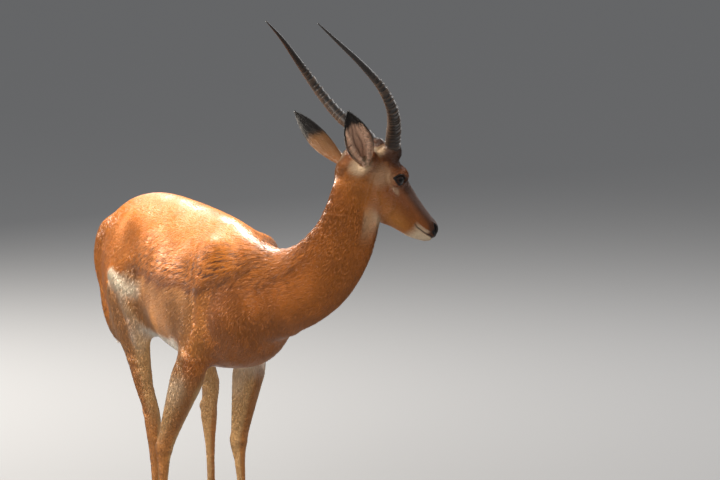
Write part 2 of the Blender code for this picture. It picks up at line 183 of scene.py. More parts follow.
def spline(rows: Rows, count: int) -> Array:
    """Even steps on a Catmull-Rom spline through rows of numbers.

    Args:
        rows: the rows passed through.
        count: how many rows to return.

    Returns:
        The rows on the spline.
    """
    given = np.array(rows, float)
    padded = np.vstack([2 * given[0] - given[1], given, 2 * given[-1] - given[-2]])
    found = []
    for place in np.linspace(0, len(given) - 1 - 1e-9, count):
        i, t = int(place), place - int(place)
        p0, p1, p2, p3 = padded[i:i + 4]
        found.append(0.5 * (2 * p1 + (p2 - p0) * t + (2 * p0 - 5 * p1 + 4 * p2 - p3) * t * t
                            + (3 * p1 - p0 - 3 * p2 + p3) * t ** 3))
    return np.array(found)


# ---- meshes
def new_object(name: str, data: Any) -> Object:
    """Put a mesh, camera or light in the scene as an object at the origin."""
    obj = bpy.data.objects.new(name, data)
    bpy.context.scene.collection.objects.link(obj)
    return obj


def finish_mesh(name: str, bm: BMesh, outward: bool = True) -> Object:
    """Turn a bmesh into a smooth-shaded object.

    Args:
        name: the piece's name.
        bm: the shape, freed here.
        outward: recalculate the normals.

    Returns:
        The new object.
    """
    if outward:
        bmesh.ops.recalc_face_normals(bm, faces=bm.faces)
    mesh = bpy.data.meshes.new(name)
    bm.to_mesh(mesh)
    bm.free()
    mesh.shade_smooth()
    return new_object(name, mesh)


def bake(obj: Object) -> None:
    """Replace an object's mesh with what its modifiers make of it.

    Args:
        obj: the object, which loses its modifiers.
    """
    seen = obj.evaluated_get(bpy.context.evaluated_depsgraph_get())
    mesh = bpy.data.meshes.new_from_object(seen)
    obj.modifiers.clear()
    obj.data = mesh


def in_order(mesh: Mesh) -> Mesh:
    """Copy a mesh with its faces in one fixed order, so that every run gives the same mesh and hair.

    Args:
        mesh: the mesh to copy.

    Returns:
        The copy, shaded smooth.
    """
    faces = []
    for face in mesh.polygons:
        ring = list(face.vertices)
        first = ring.index(min(ring))
        faces.append(ring[first:] + ring[:first])
    fresh = bpy.data.meshes.new(mesh.name)
    fresh.from_pydata(coords(mesh).tolist(), [], sorted(faces))
    fresh.shade_smooth()
    return fresh


def rows_of(items: Any, key: str) -> Array:
    """Three numbers of each item of a mesh, as rows."""
    found = np.empty(len(items) * 3, np.float32)
    items.foreach_get(key, found)
    return found.reshape(-1, 3).astype(float)


def coords(mesh: Mesh) -> Array:
    """The vertices' places."""
    return rows_of(mesh.vertices, "co")


def normals(mesh: Mesh) -> Array:
    """The vertices' normals."""
    return rows_of(mesh.vertex_normals, "vector")


def place(mesh: Mesh, points: Array) -> None:
    """Move the vertices to new places."""
    mesh.vertices.foreach_set("co", points.astype(np.float32).ravel())
    mesh.update()


def paint(mesh: Mesh, shades: Array) -> None:
    """Store a colour at each vertex, for the materials to read."""
    layer = mesh.color_attributes.new("pelt", "FLOAT_COLOR", "POINT")
    rows = np.column_stack([np.clip(shades, 0, 1), np.ones(len(shades))])
    layer.data.foreach_set("color", rows.astype(np.float32).ravel())


def wrapped_grid(rows: int, columns: int, shape: Callable[[Array, Array], Array],
                 closed: bool = True) -> BMesh:
    """Bend a flat grid into a tube or a sheet.

    Args:
        rows: steps along the piece.
        columns: steps round or across it.
        shape: gives places for shares along and round, both 0 to 1.
        closed: join the sides and close both ends.

    Returns:
        The bent grid.
    """
    bm = bmesh.new()
    bmesh.ops.create_grid(bm, x_segments=rows, y_segments=columns, size=0.5)
    flat = np.array([vert.co for vert in bm.verts]) + 0.5
    for vert, spot in zip(bm.verts, shape(flat[:, 0], flat[:, 1])):
        vert.co = spot
    if closed:
        bmesh.ops.remove_doubles(bm, verts=bm.verts, dist=2e-6)
        bmesh.ops.holes_fill(bm, edges=[edge for edge in bm.edges if edge.is_boundary], sides=0)
    return bm


def add_node(tree: NodeTree, kind: str, inputs: Values | None = None, **settings: Any) -> Node:
    """Add a shader node with its settings, values and links.

    Args:
        tree: the material's node tree.
        kind: the shader node's type, such as TexNoise.
        inputs: socket name or number to a value, or to the output that feeds it.
        settings: properties of the node.

    Returns:
        The new node.
    """
    made = tree.nodes.new("ShaderNode" + kind)
    for key, value in settings.items():
        setattr(made, key, value)
    for key, value in (inputs or {}).items():
        if isinstance(value, NodeSocket):
            tree.links.new(value, made.inputs[key])
        else:
            made.inputs[key].default_value = value
    return made


# ---- anatomy
@dataclass
class Anatomy:
    """Where things are on the body, worked out from the boxes of the solids."""

    eyes_behind_nose: float = 0.182
    eyes_off_face: float = -0.029
    face_slope: float = math.radians(50)
    nose_from_withers: tuple[float, float, float] = (0.258, 0.392, 0.876)
    # Elbow or stifle, knee or hock, and fetlock of each limb, in body coordinates.
    limbs: dict[str, tuple] = field(default_factory=lambda: {
        "foreleg_right": ((-0.062, -0.094, 0.55), (-0.158, -0.134, 0.305), (-0.16, -0.137, 0.112)),
        "foreleg_left": ((-0.12, 0.084, 0.55), (-0.158, 0.064, 0.305), (-0.13, 0.068, 0.112)),
        "hindleg_right": ((-0.402, -0.106, 0.56), (-0.402, -0.06, 0.325), (-0.372, -0.062, 0.112)),
        "hindleg_left": ((-0.396, 0.106, 0.56), (-0.418, 0.1, 0.325), (-0.388, 0.094, 0.112))})
    neck_line: tuple = ((-0.04, 0, 0.712), (0.07, 0.004, 0.708), (0.155, 0.034, 0.724),
                        (0.23, 0.094, 0.77), (0.266, 0.14, 0.846), (0.281, 0.161, 0.92),
                        (0.284, 0.173, 0.985))
    neck_steps: int = 60
    # A point on the line from nape to throat, back from the nose and up, and the way forwards.
    poll: tuple[float, float] = (0.268, 0.12)
    poll_way: tuple[float, float] = (-0.806, 0.592)
    # Rear edge of the upper arm, from above, as X and Z in body coordinates.
    arm_edge: tuple = ((-0.028, 0.72), (-0.022, 0.69), (-0.018, 0.642), (-0.033, 0.604), (-0.051, 0.57))
    tail_front: float = -0.685
    face: Matrix = field(init=False)
    floor_below_withers: Array = field(init=False)
    eye_radius: float = field(init=False)

    def __post_init__(self) -> None:
        """Find the face's frame and the withers from the boxes of the eyes."""
        middle = {}
        for side in SIDES:
            low, high = (Vector(corner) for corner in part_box(f"eye_{side}"))
            middle[side] = (low + high) / 2
            self.eye_radius = (high.z - low.z) / 2
        up = Vector((0, 0, 1))
        left = (middle["left"] - middle["right"]).normalized()
        ahead = left.cross(up).normalized()
        back = up * math.sin(self.face_slope) - ahead * math.cos(self.face_slope)
        off = up * math.cos(self.face_slope) + ahead * math.sin(self.face_slope)
        between = (middle["left"] + middle["right"]) / 2
        nose = between - back * self.eyes_behind_nose - off * self.eyes_off_face
        turn = Matrix((back, left, off)).transposed().to_4x4()
        self.face = Matrix.Translation(nose) @ turn
        self.floor_below_withers = np.array(nose) - np.array(self.nose_from_withers)

    def turn(self) -> Array:
        """The face's three axes as columns."""
        return np.array(self.face.to_3x3())

    def to_body(self, points: Array) -> Array:
        """World places to body coordinates."""
        return points - self.floor_below_withers

    def to_face(self, points: Array) -> Array:
        """World places to face coordinates."""
        return (points - np.array(self.face.translation)) @ self.turn()

    def from_face(self, points: Array) -> Array:
        """Face coordinates to world places."""
        return np.asarray(points) @ self.turn().T + np.array(self.face.translation)

    def upright(self, origin: Sequence[float]) -> Matrix:
        """A level frame: +X straight back, +Y left, +Z up.

        Args:
            origin: its place in face coordinates.

        Returns:
            The frame in world coordinates.
        """
        left = self.face.to_3x3() @ Vector((0, 1, 0))
        up = Vector((0, 0, 1))
        turn = Matrix((-left.cross(up), left, up)).transposed().to_4x4()
        return Matrix.Translation(self.face @ Vector(origin)) @ turn

    def from_poll(self, points: Array) -> tuple[Array, Array]:
        """Measure points against the slanting line from nape to throat.

        Args:
            points: world places.

        Returns:
            How far in front of the line they lie, and how far level behind the nose.
        """
        spot = self.to_face(points)
        slope = self.face_slope
        back = spot[:, 0] * math.cos(slope) - spot[:, 2] * math.sin(slope)
        high = spot[:, 0] * math.sin(slope) + spot[:, 2] * math.cos(slope)
        return self.poll_way[0] * (back - self.poll[0]) + self.poll_way[1] * (high - self.poll[1]), back

    def head_share(self, points: Array) -> Array:
        """1 on the head, 0 behind the line from nape to throat."""
        return ramp(-0.018, 0.022, self.from_poll(points)[0])

    def neck_share(self, points: Array) -> Array:
        """1 on the neck, 0 on the trunk and the head."""
        body = self.to_body(points)
        ahead = (body - [0.115, 0.01, 0.76]) @ unit(np.array([0.86, 0.35, 0.36]))
        return ramp(-0.05, 0.05, ahead) * (1 - self.head_share(points))

    def along_neck(self, body: Array) -> tuple[Array, Array]:
        """Where points lie along the neck.

        Args:
            body: places in body coordinates.

        Returns:
            Share of the neck's length, and the way from its middle line to the point.
        """
        _, share = along_line(body, self.neck_line)
        last = self.neck_steps - 1
        middle = spline(self.neck_line, self.neck_steps)[np.clip((share * last).astype(int), 0, last)]
        return share, body - middle

    @staticmethod
    def nape_side(away: Array) -> Array:
        """1 along the top of the neck, -1 along the throat, for ways from its middle line."""
        return unit(away) @ unit(np.array([-0.75, -0.45, 0.5]))

    def ahead_of_arm(self, body: Array) -> Array:
        """How far in front of the rear edge of the upper arm places lie."""
        return body[:, 0] - np.interp(body[:, 2], *np.array(self.arm_edge)[::-1, ::-1].T)

    def on_tail(self, body: Array) -> Array:
        """True on the dock and the hair of the tail."""
        return (body[:, 0] < self.tail_front) & (np.abs(body[:, 1]) < 0.03)

    def leg_share(self, points: Array) -> Array:
        """1 below the elbows and stifles, apart from the tail."""
        body = self.to_body(points)
        return ramp(0.53, 0.47, body[:, 2]) * ramp(-0.68, -0.66, body[:, 0])

    def limb_axis(self, limb: str, height: Array) -> Array:
        """Middle of a limb at some heights above the floor.

        Args:
            limb: which limb.
            height: heights in metres.

        Returns:
            X and Y in body coordinates.
        """
        joints = np.array(self.limbs[limb])[::-1]
        toe = joints[0] + [0.032, 0, -0.112]
        line = np.vstack([toe, joints])
        return np.column_stack([np.interp(height, line[:, 2], line[:, k]) for k in (0, 1)])

    def nearest_limb(self, points: Array) -> tuple[Array, Array]:
        """Which limb each point is nearest to, and the way from its axis to the point.

        Args:
            points: world places.

        Returns:
            The limb's number in LIMBS, and X and Y from its axis.
        """
        body = self.to_body(points)
        away = np.stack([body[:, :2] - self.limb_axis(limb, body[:, 2]) for limb in LIMBS])
        which = np.argmin(np.linalg.norm(away, axis=2), axis=0)
        return which, away[which, np.arange(len(points))]


class Lie:
    """The way the hair lies: guide directions spread over the body."""

    # Place and direction in body coordinates; both flanks use each row.
    BODY = (((0, 0, 0.87), (-1, 0, -0.05)), ((-0.2, 0, 0.88), (-1, 0, 0)),
            ((-0.45, 0, 0.89), (-1, 0, -0.1)), ((-0.63, 0, 0.84), (-0.5, 0, -0.85)),
            ((-0.2, 0.12, 0.8), (-0.92, 0, -0.35)), ((-0.3, 0.13, 0.68), (-0.8, 0, -0.6)),
            ((-0.2, 0.11, 0.57), (-0.9, -0.2, -0.3)), ((-0.25, 0, 0.51), (-1, 0, 0)),
            ((0.02, 0.1, 0.78), (-0.8, 0, -0.6)), ((0, 0.11, 0.62), (-0.4, 0, -0.9)),
            ((0.09, 0.08, 0.7), (-0.55, 0, -0.85)), ((0.14, 0, 0.63), (-0.25, 0, -1)),
            ((0.05, 0, 0.52), (-1, 0, -0.1)), ((-0.45, 0.13, 0.76), (-0.65, 0, -0.76)),
            ((-0.46, 0.13, 0.62), (-0.2, 0, -1)), ((-0.66, 0.07, 0.72), (0.05, 0, -1)),
            ((-0.38, 0.13, 0.64), (0.05, 0, -1)), ((-0.62, 0.05, 0.6), (0.3, 0, -1)))
    FACE = (((0, 0, 0), (1, 0, 0.2)), ((0.1, 0, 0.01), (1, 0, 0)),
            ((0.2, 0, 0.02), (1, 0, 0.1)), ((0.25, 0, 0), (1, 0, -0.5)),
            ((0.06, 0.03, -0.05), (1, 0, -0.1)), ((0.13, 0.04, -0.06), (1, 0, -0.15)),
            ((0.19, 0.05, -0.09), (0.9, 0, -0.45)), ((0.25, 0.04, -0.09), (0.6, 0, -0.8)),
            ((0.03, 0.01, -0.08), (1, 0, 0)), ((0.12, 0.01, -0.11), (1, 0, -0.1)),
            ((0.02, 0.02, -0.05), (1, 0, 0)), ((0.225, 0.035, -0.03), (0.9, 0.1, -0.2)))

    DOWN = np.array([-0.2, 0, -1])
    REACH = 0.0012          # square metres; a guide rules within about 35 mm

    def __init__(self, anatomy: Anatomy) -> None:
        """Gather the guides in world coordinates.

        Args:
            anatomy: the body's landmarks.
        """
        floor, spots, ways = anatomy.floor_below_withers, [], []
        for mirror in SIDES.values():
            flip = np.array([1, mirror, 1])
            for spot, way in self.BODY:
                spots.append(np.array(spot) * flip + floor)
                ways.append(np.array(way) * flip)
            for spot, way in self.FACE:
                spots.append(anatomy.from_face(np.array([spot]) * flip)[0])
                ways.append(anatomy.turn() @ (np.array(way) * flip))
        line = np.array(anatomy.neck_line)
        for i in range(2, len(line)):
            for shift in (-0.05, 0, 0.05):
                way = line[i - 1] - line[i]
                across = unit(np.cross(way, [0, 0, 1]))
                spots.append(line[i] + across * shift + floor)
                ways.append(way / np.linalg.norm(way) + np.array([0, 0, -0.25]))
        for limb in LIMBS:
            for height in (0.5, 0.42, 0.34, 0.26, 0.18, 0.1, 0.04):
                middle = anatomy.limb_axis(limb, np.array([height]))[0]
                spots.append(np.array([*middle, height]) + floor)
                ways.append(np.array([-0.12, 0, -1]))
        for height in (0.78, 0.68, 0.58):
            spots.append(np.array([-0.7, 0, height]) + anatomy.floor_below_withers)
            ways.append(np.array([-0.1, 0, -1]))
        self.spots, self.ways = np.array(spots), unit(np.array(ways))

    def at(self, points: Array, outward: Array) -> Array:
        """The lie of the coat at points on the skin.

        Args:
            points: world places.
            outward: the skin's normals there.

        Returns:
            Directions along the skin, of length 1.
        """
        total = np.zeros_like(points)
        for spot, way in zip(self.spots, self.ways):
            far = np.sum((points - spot) ** 2, axis=1)
            total += way / (far + self.REACH)[:, None] ** 2
        total = unit(total)
        flat = total - outward * np.sum(total * outward, axis=1, keepdims=True)
        weak = ramp(0.35, 0.1, np.linalg.norm(flat, axis=1))
        down = self.DOWN - outward * (outward @ self.DOWN)[:, None]
        return unit(flat + down * weak[:, None])


# ---- markings
@dataclass(frozen=True)
class Pelage:
    """Colours of the hair and bare skin of a grown ram."""

    saddle: Shade = linear("D8801A")        # glossy red-orange back and upper flank
    spine: Shade = linear("B56C2A")         # a little darker along the backbone
    lock_shadow: Shade = linear("5E3014")        # painted shade between the locks of flank, shoulder and nape, and along the saddle's lower edge
    flank: Shade = linear("C08244")         # light tan band below the saddle
    white: Shade = linear("FAEAD8")         # belly, rump, inner thighs
    fold: Shade = linear("FCE4C6")          # cream of the flank fold, brightened as a painted highlight; also painted highlight below the elbows
    neck: Shade = linear("B86A20")          # tan brown
    throat: Shade = linear("E0C6A2")
    thigh: Shade = linear("C67E2C")
    shin: Shade = linear("C48040")
    pale_leg: Shade = linear("E2B276")
    face: Shade = linear("8A4A14")
    bridge: Shade = linear("44220A")        # dark brown nose and forehead; also the painted shadow of the ear
    ring: Shade = linear("D2B590")          # pale hair round the eye
    muzzle: Shade = linear("DEC8A8")
    cheek: Shade = linear("B06C2C")
    arm: Shade = linear("EE9C46")           # painted highlight: a sunlit band along the rear of the upper arm
    black: Shade = linear("17110E")         # stripes, ear tips, metatarsal tufts
    bare: Shade = linear("120C0A")          # naked skin of nose, lips and lids
    ear_back: Shade = linear("8E6238")
    ear_inside: Shade = linear("DDB498")
    ear_vein: Shade = linear("7A5240")


@dataclass
class Markings:
    """Works out the colour of hair and skin at any point of the body."""

    anatomy: Anatomy
    pelage: Pelage

    SADDLE_EDGE = ((-0.7, 0.5), (-0.54, 0.56), (-0.49, 0.66), (-0.468, 0.717), (-0.387, 0.709),
                   (-0.287, 0.707), (-0.132, 0.706), (-0.041, 0.708), (0.021, 0.716), (0.086, 0.742),
                   (0.146, 0.775), (0.25, 0.83))
    WHITE_EDGE = ((-0.7, 0.52), (-0.42, 0.6), (-0.374, 0.6), (-0.33, 0.574), (-0.251, 0.566),
                  (-0.112, 0.578), (-0.06, 0.565), (0.02, 0.535), (0.15, 0.5))
    COMB = np.array(((0.86, 0, -0.51), (0, 1, 0), (0.51, 0, 0.86)))     # +X along the flank's hair
    FOLD = ((-0.492, 0.705), (-0.44, 0.694), (-0.395, 0.676), (-0.35, 0.674), (-0.3, 0.688))
    STRIPE = ((-0.398, 0.65), (-0.386, 0.627), (-0.355, 0.59), (-0.329, 0.566))

    def trunk(self, body: Array, outward: Array) -> Array:
        """Colours of the trunk.

        Args:
            body: places in body coordinates.
            outward: the skin's normals.

        Returns:
            Rows of colour.
        """
        look = self.pelage
        x, y, z = body.T
        nx, ny, nz = outward.T
        outline = body[:, [0, 2]]
        edge = np.interp(x, *np.array(self.SADDLE_EDGE).T) + 0.005 * waves(body, 0.05, 3)
        ahead = self.anatomy.ahead_of_arm(body)
        above = ramp(-0.008, 0.01, z - edge)
        # Masks of painted shade: a dark band just above the saddle's lower edge, and the gaps between the
        # locks of flank and shoulder.
        rim = bump_at(z - edge, 0.006, 0.022) * above * ramp(-0.44, -0.36, x)
        grain = ramp(0.5, 0.85, 0.5 + 0.5 * self.ripples(body))
        flank = bump_at(z - edge, 0.035, 0.045) * ramp(-0.42, -0.32, x)
        shoulder = 0.8 * bump_at(z, 0.775, 0.05) * ramp(-0.08, -0.02, x)
        far, share = along_line(outline, self.FOLD)
        patch = ramp(1.1, 0.1, far / (0.046 - 0.022 * share)) * ramp(0.006, -0.006, z - edge)
        stripe, _ = along_line(outline, self.STRIPE)
        low = np.interp(x, *np.array(self.WHITE_EDGE).T) + 0.003 * waves(body, 0.04, 4)
        under = np.maximum(ramp(-0.37, -0.34, x) * ramp(0.15, -0.15, nz), ramp(-0.15, -0.5, nz))
        belly = ramp(0.01, -0.006, z - low) * ramp(-0.03, -0.09, x) * under
        groin = ramp(-0.45, -0.75, nz) * ramp(0.62, 0.57, z) * ramp(-0.02, -0.1, x)
        thigh = ramp(0.66, 0.6, z) * ramp(-0.33, -0.38, x)
        inner = ramp(0.2, 0.7, -ny * np.sign(y)) * thigh
        return blend(
            plain(look.flank, len(x)),
            (look.neck, ramp(-0.006, 0.008, ahead) * 0.95),
            # Painted highlight: a sunlit band along the rear edge of the upper arm.
            (look.arm, bump_at(ahead, 0.026, 0.036) * ramp(0.54, 0.58, z) * 0.9),
            (look.saddle, above),
            # Painted shade along the saddle's lower edge and between the locks.
            (look.lock_shadow, rim * 0.68),
            (look.lock_shadow, np.clip(flank + shoulder, 0, 1) * (0.05 + 0.95 * grain)),
            (look.spine, ramp(0.035, 0, np.abs(y)) * ramp(0.8, 0.86, z) * 0.4),
            # Cream of the flank fold, brightened as a painted highlight where the fold catches the light.
            (look.fold, patch * ramp(-0.51, -0.485, x) * ramp(0.98, 0.6, share)),
            (look.fold, ramp(0.02, 0.005, stripe) * 0.4),
            (look.white, belly * ramp(-0.405, -0.385, x)),
            (look.white, groin * 0.92),
            (look.pale_leg, ramp(0.2, 0.65, nx) * thigh * 0.85),
            (look.pale_leg, inner),
            (look.white, inner * ramp(0.05, -0.25, nx) * 0.35),
            *self.rump(body, outward))

    def ripples(self, body: Array) -> Array:
        """Short waves in the hair of flank and shoulder, 1 between the locks and -1 on them."""
        return np.clip(waves(body @ self.COMB, 0.01, 11, (2.6, 1.2, 0.7)), -1, 1)

    def rump(self, body: Array, outward: Array) -> tuple[tuple[Shade, Array], ...]:
        """The white rump patch and its black stripes.

        Args:
            body: places in body coordinates.
            outward: the skin's normals.

        Returns:
            Layers of colour and share.
        """
        x, y, z = body.T
        side = np.abs(y)
        behind = ramp(0.35, 0.75, -outward[:, 0]) * ramp(-0.6, -0.635, x)
        line = bump_at(side, 0.074 - 0.1 * np.clip(0.74 - z, 0, 0.2), 0.0075)
        reach = ramp(0.835, 0.8, z) * ramp(0.54, 0.6, z) * ramp(-0.56, -0.61, x)
        return ((self.pelage.white, behind * ramp(0.078, 0.064, side) * ramp(0.845, 0.815, z)),
                (self.pelage.black, line * reach * ramp(0.1, 0.4, -outward[:, 0])))

    def neck(self, body: Array) -> Array:
        """Colours of the neck.

        Args:
            body: places in body coordinates.

        Returns:
            Rows of colour.
        """
        look = self.pelage
        share, away = self.anatomy.along_neck(body)
        nape = self.anatomy.nape_side(away)
        grain = ramp(0.4, 0.85, 0.5 + 0.5 * waves(body, 0.012, 12, (1, 1, 3.5)))
        # Painted shade between the locks of the nape.
        nape_lock_shadow = ramp(-0.1, 0.5, nape) * ramp(0.9, 0.3, share)
        return blend(
            plain(look.neck, len(body)),
            (look.saddle, ramp(0.35, 0.85, nape) * ramp(0.75, 0.2, share) * 0.85),
            (look.spine, ramp(0.55, 0.95, nape) * 0.45),
            (look.throat, ramp(-0.88, -0.98, nape) * ramp(0.76, 0.92, share) * 0.65),
            (look.lock_shadow, nape_lock_shadow * (0.08 + 0.6 * grain)))

    def head(self, face: Array) -> Array:
        """Colours of the head.

        Args:
            face: places in face coordinates.

        Returns:
            Rows of colour.
        """
        look = self.pelage
        x, y, z = face.T
        side = np.abs(y)
        half = np.column_stack([x, side, z])        # both halves of the face laid on the left one
        temple = distance(half, (0.216, 0.055, -0.052))
        below_ear = distance(half, (0.272, 0.045, -0.074))
        # Painted shadow of the ear's edge: a dark streak below its root.
        ear_shadow = distance(half, (0.285, 0.05, -0.085), (1.2, 0.2, 0.25))
        bridge = ramp(-0.036, -0.016, z + 0.02 * ramp(0.03, 0, x)) * ramp(0.055, 0.035, side)
        tuft = distance(half, (0.222, 0.026, 0.012), (1, 1.1, 1))
        front = ramp(0.18, 0.2, x) * ramp(0.262, 0.245, x) * ramp(-0.026, -0.006, z)
        eye = distance(half, (0.18, 0.052, -0.03), (0.85, 0.6, 1.15))
        ring = bump_at(eye, 0.0205, 0.0055) * ramp(0.005, -0.01, z + 0.03)
        ahead = distance(half, (0.158, 0.04, -0.044), (0.55, 0.5, 1.3))
        crown = distance(half, (0.256, 0.03, -0.01))
        lips, _ = along_line(face[:, [0, 2]], Head.MOUTH)
        pale = ramp(0.009, 0.004, lips - 0.002) * ramp(0.06, 0.04, x) * ramp(0.006, 0.016, x)
        below = z - np.interp(x, *np.array(Head.MOUTH).T)
        chin = ramp(-0.001, -0.005, below) * ramp(0.058, 0.026, x)
        nostrils = [(look.bare, ramp(2.6, 1.6, Head.nostril(face, mirror))) for mirror in SIDES.values()]
        return blend(
            plain(look.face, len(x)),
            (look.cheek, ramp(-0.05, -0.095, z) * ramp(0.03, 0.09, x) * 0.8),
            # The lower jaw's orange, with a painted highlight on it.
            (look.thigh, bump_at(z, -0.088, 0.024) * bump_at(x, 0.075, 0.05) * 0.6),
            (look.throat, ramp(-0.108, -0.128, z) * ramp(0.2, 0.15, x) * 0.75),
            (look.ring, ramp(0.044, 0.012, temple) * 0.38),
            (look.throat, ramp(0.036, 0.014, below_ear) * 0.8),
            (look.bridge, bump_at(ear_shadow, 0, 0.008) * 0.5),
            (look.bridge, bridge * ramp(0.235, 0.2, x) * 0.85),
            (look.black, ramp(0.04, 0.018, tuft) * 0.7),
            (look.bridge, front * 0.88),
            (look.ring, np.maximum(ring * 0.6, ramp(0.012, 0.005, ahead)) * 0.48),
            (look.ring, ramp(0.026, 0.012, crown) * 0.8),
            (look.muzzle, np.maximum(pale * 0.55, chin * 0.85)),
            (look.bridge, ramp(0.03, 0.012, x) * ramp(-0.03, -0.024, z) * 0.6),
            (look.bare, ramp(0.011, 0.004, x) * ramp(-0.034, -0.028, z)),
            (look.bare, ramp(0.0023, 0.001, lips) * ramp(0.06, 0.048, x) * 0.75),
            *nostrils)

    def leg(self, points: Array, outward: Array) -> Array:
        """Colours of the limbs below elbow and stifle.

        Args:
            points: world places.
            outward: the skin's normals.

        Returns:
            Rows of colour.
        """
        look = self.pelage
        z = self.anatomy.to_body(points)[:, 2]
        which, _ = self.anatomy.nearest_limb(points)
        hind = which >= 2
        side = np.where(which % 2 == 0, 1, -1)
        nx, ny, _ = outward.T
        inner, front = ramp(0.05, 0.55, -ny * side), ramp(0.15, 0.75, nx)
        rear = ramp(-0.85, -0.15, -nx) * ~hind
        return blend(
            plain(look.shin, len(z)),
            (look.pale_leg, inner * 0.9),
            (look.white, inner * ramp(0.36, 0.46, z) * ramp(0.1, -0.3, nx) * 0.35),
            (look.pale_leg, front * hind * ramp(0.3, 0.4, z) * 0.75),
            (look.thigh, ramp(0.2, 0.8, -nx) * hind * ramp(0.34, 0.44, z) * 0.8),
            # Painted highlight: the forelegs paler round the sides and rear below the elbow, palest just under
            # it.
            (look.pale_leg, rear * ramp(0.3, 0.38, z) * ramp(0.56, 0.5, z) * 0.9),
            (look.fold, rear * ramp(0.4, 0.48, z) * ramp(0.57, 0.53, z) * 0.45),
            (look.bridge, front * ramp(0.2, 0.15, z) * 0.28),
            (look.black, ramp(0.2, 0.7, -nx) * hind * bump_at(z, 0.15, 0.03)),
            (look.bridge, ramp(0.055, 0.038, z) * 0.7))

    def tail(self, body: Array, outward: Array) -> Array:
        """Colours of the tail: white, with a dark stripe down its back.

        Args:
            body: places in body coordinates.
            outward: the skin's normals.

        Returns:
            Rows of colour.
        """
        look = self.pelage
        _, y, z = body.T
        stripe = ramp(0.011, 0.006, np.abs(y)) * ramp(0, 0.5, -outward[:, 0])
        return blend(plain(look.white, len(body)), (look.thigh, ramp(0.8, 0.84, z) * 0.8),
                     (look.black, stripe * ramp(0.835, 0.8, z)))

    def at(self, points: Array, outward: Array) -> Array:
        """Colours anywhere but on the ears.

        Args:
            points: world places.
            outward: the skin's normals.

        Returns:
            Rows of colour.
        """
        anatomy = self.anatomy
        body = anatomy.to_body(points)
        behind = ramp(-0.678, -0.69, body[:, 0]) * ramp(0.036, 0.03, np.abs(body[:, 1]))
        return blend(self.trunk(body, outward),
                     (self.leg(points, outward), anatomy.leg_share(points)),
                     (self.neck(body), anatomy.neck_share(points)),
                     (self.head(anatomy.to_face(points)), anatomy.head_share(points)),
                     (self.tail(body, outward), behind))


# ---- finishes
def blank(name: str, values: Values) -> tuple[Material, NodeTree, Node]:
    """A new material with a Principled shader.

    Args:
        name: the material's name.
        values: the shader's inputs by name.

    Returns:
        The material, its tree and its shader.
    """
    made = bpy.data.materials.new(name)
    made.use_nodes = True
    shader = made.node_tree.nodes["Principled BSDF"]
    for key, value in values.items():
        shader.inputs[key].default_value = value
    return made, made.node_tree, shader


def grained(name: str, values: Values, noise: tuple[float, float], levels: dict[int, float],
            stretch: Sequence[float] = (), bump: Sequence[float] = ()) -> Material:
    """A material whose stored colour is varied by noise, which may also raise the surface.

    Args:
        name: the material's name.
        values: the shader's inputs by name.
        noise: the noise's scale and detail.
        levels: inputs of the range that turns noise into brightness.
        stretch: scale of the noise along X, Y and Z, if it isn't even.
        bump: strength and distance of the bump, if there is one.

    Returns:
        The material.
    """
    made, tree, shader = blank(name, values)
    stored = add_node(tree, "Attribute", attribute_name="pelt")
    spot = add_node(tree, "TexCoord").outputs["Object"]
    if stretch:
        spot = add_node(tree, "Mapping", {"Vector": spot, "Scale": stretch}).outputs[0]
    grain = add_node(tree, "TexNoise", {"Vector": spot, "Scale": noise[0], "Detail": noise[1]})
    level = add_node(tree, "MapRange", {0: grain.outputs[0], **levels})
    tone = add_node(tree, "HueSaturation", {"Color": stored.outputs["Color"], "Value": level.outputs[0]})
    tree.links.new(tone.outputs[0], shader.inputs["Base Color"])
    if bump:
        raised = add_node(tree, "Bump", {"Height": grain.outputs[0], "Strength": bump[0], "Distance": bump[1]})
        tree.links.new(raised.outputs[0], shader.inputs["Normal"])
    return made


@dataclass(frozen=True)
class Hair:
    """Short antelope hair: satin, lit along its length, its colour stored on each tuft."""

    name: str = "antelope_hair"
    roughness: float = 0.34
    gloss: float = 0.72

    def make(self) -> Material:
        """Build the material, with patches about 30 mm across where dust and wear shift the shade."""
        return grained(self.name, {"Roughness": self.roughness, "Specular IOR Level": self.gloss},
                       noise=(33, 3), levels={3: 0.88, 4: 1.1})


@dataclass(frozen=True)
class Hide:
    """Hide under short flat hair: the same colours, with hair-wide grain and pores as bump."""

    name: str = "haired_hide"
    roughness: float = 0.62
    gloss: float = 0.3
    sheen: float = 0.03

    def make(self) -> Material:
        """Build the material, with hairs about 1.5 mm apart in bundles some 8 mm long."""
        return grained(self.name, {"Roughness": self.roughness, "Sheen Weight": self.sheen,
                                   "Specular IOR Level": self.gloss},
                       noise=(420, 2), levels={1: 0.3, 2: 0.7, 3: 0.72, 4: 1.12},
                       stretch=(1, 1.6, 0.6), bump=(0.35, 0.0008))


@dataclass(frozen=True)
class Horn:
    """Horn keratin: dark grey-brown, satin, with lighter worn ridges and fine lengthwise fibre."""

    name: str = "horn_keratin"
    roughness: float = 0.42
    deep: Shade = linear("1E1713")
    worn: Shade = linear("66503E")
    base: Shade = linear("3A2D25")

    def make(self) -> Material:
        """Build the material; fibres under a millimetre wide are drawn 1.5 mm wide so that they show."""
        return grained(self.name, {"Roughness": self.roughness}, noise=(300, 4),
                       levels={1: 0.3, 2: 0.7, 3: 0.75, 4: 1.25}, bump=(0.4, 0.0006))


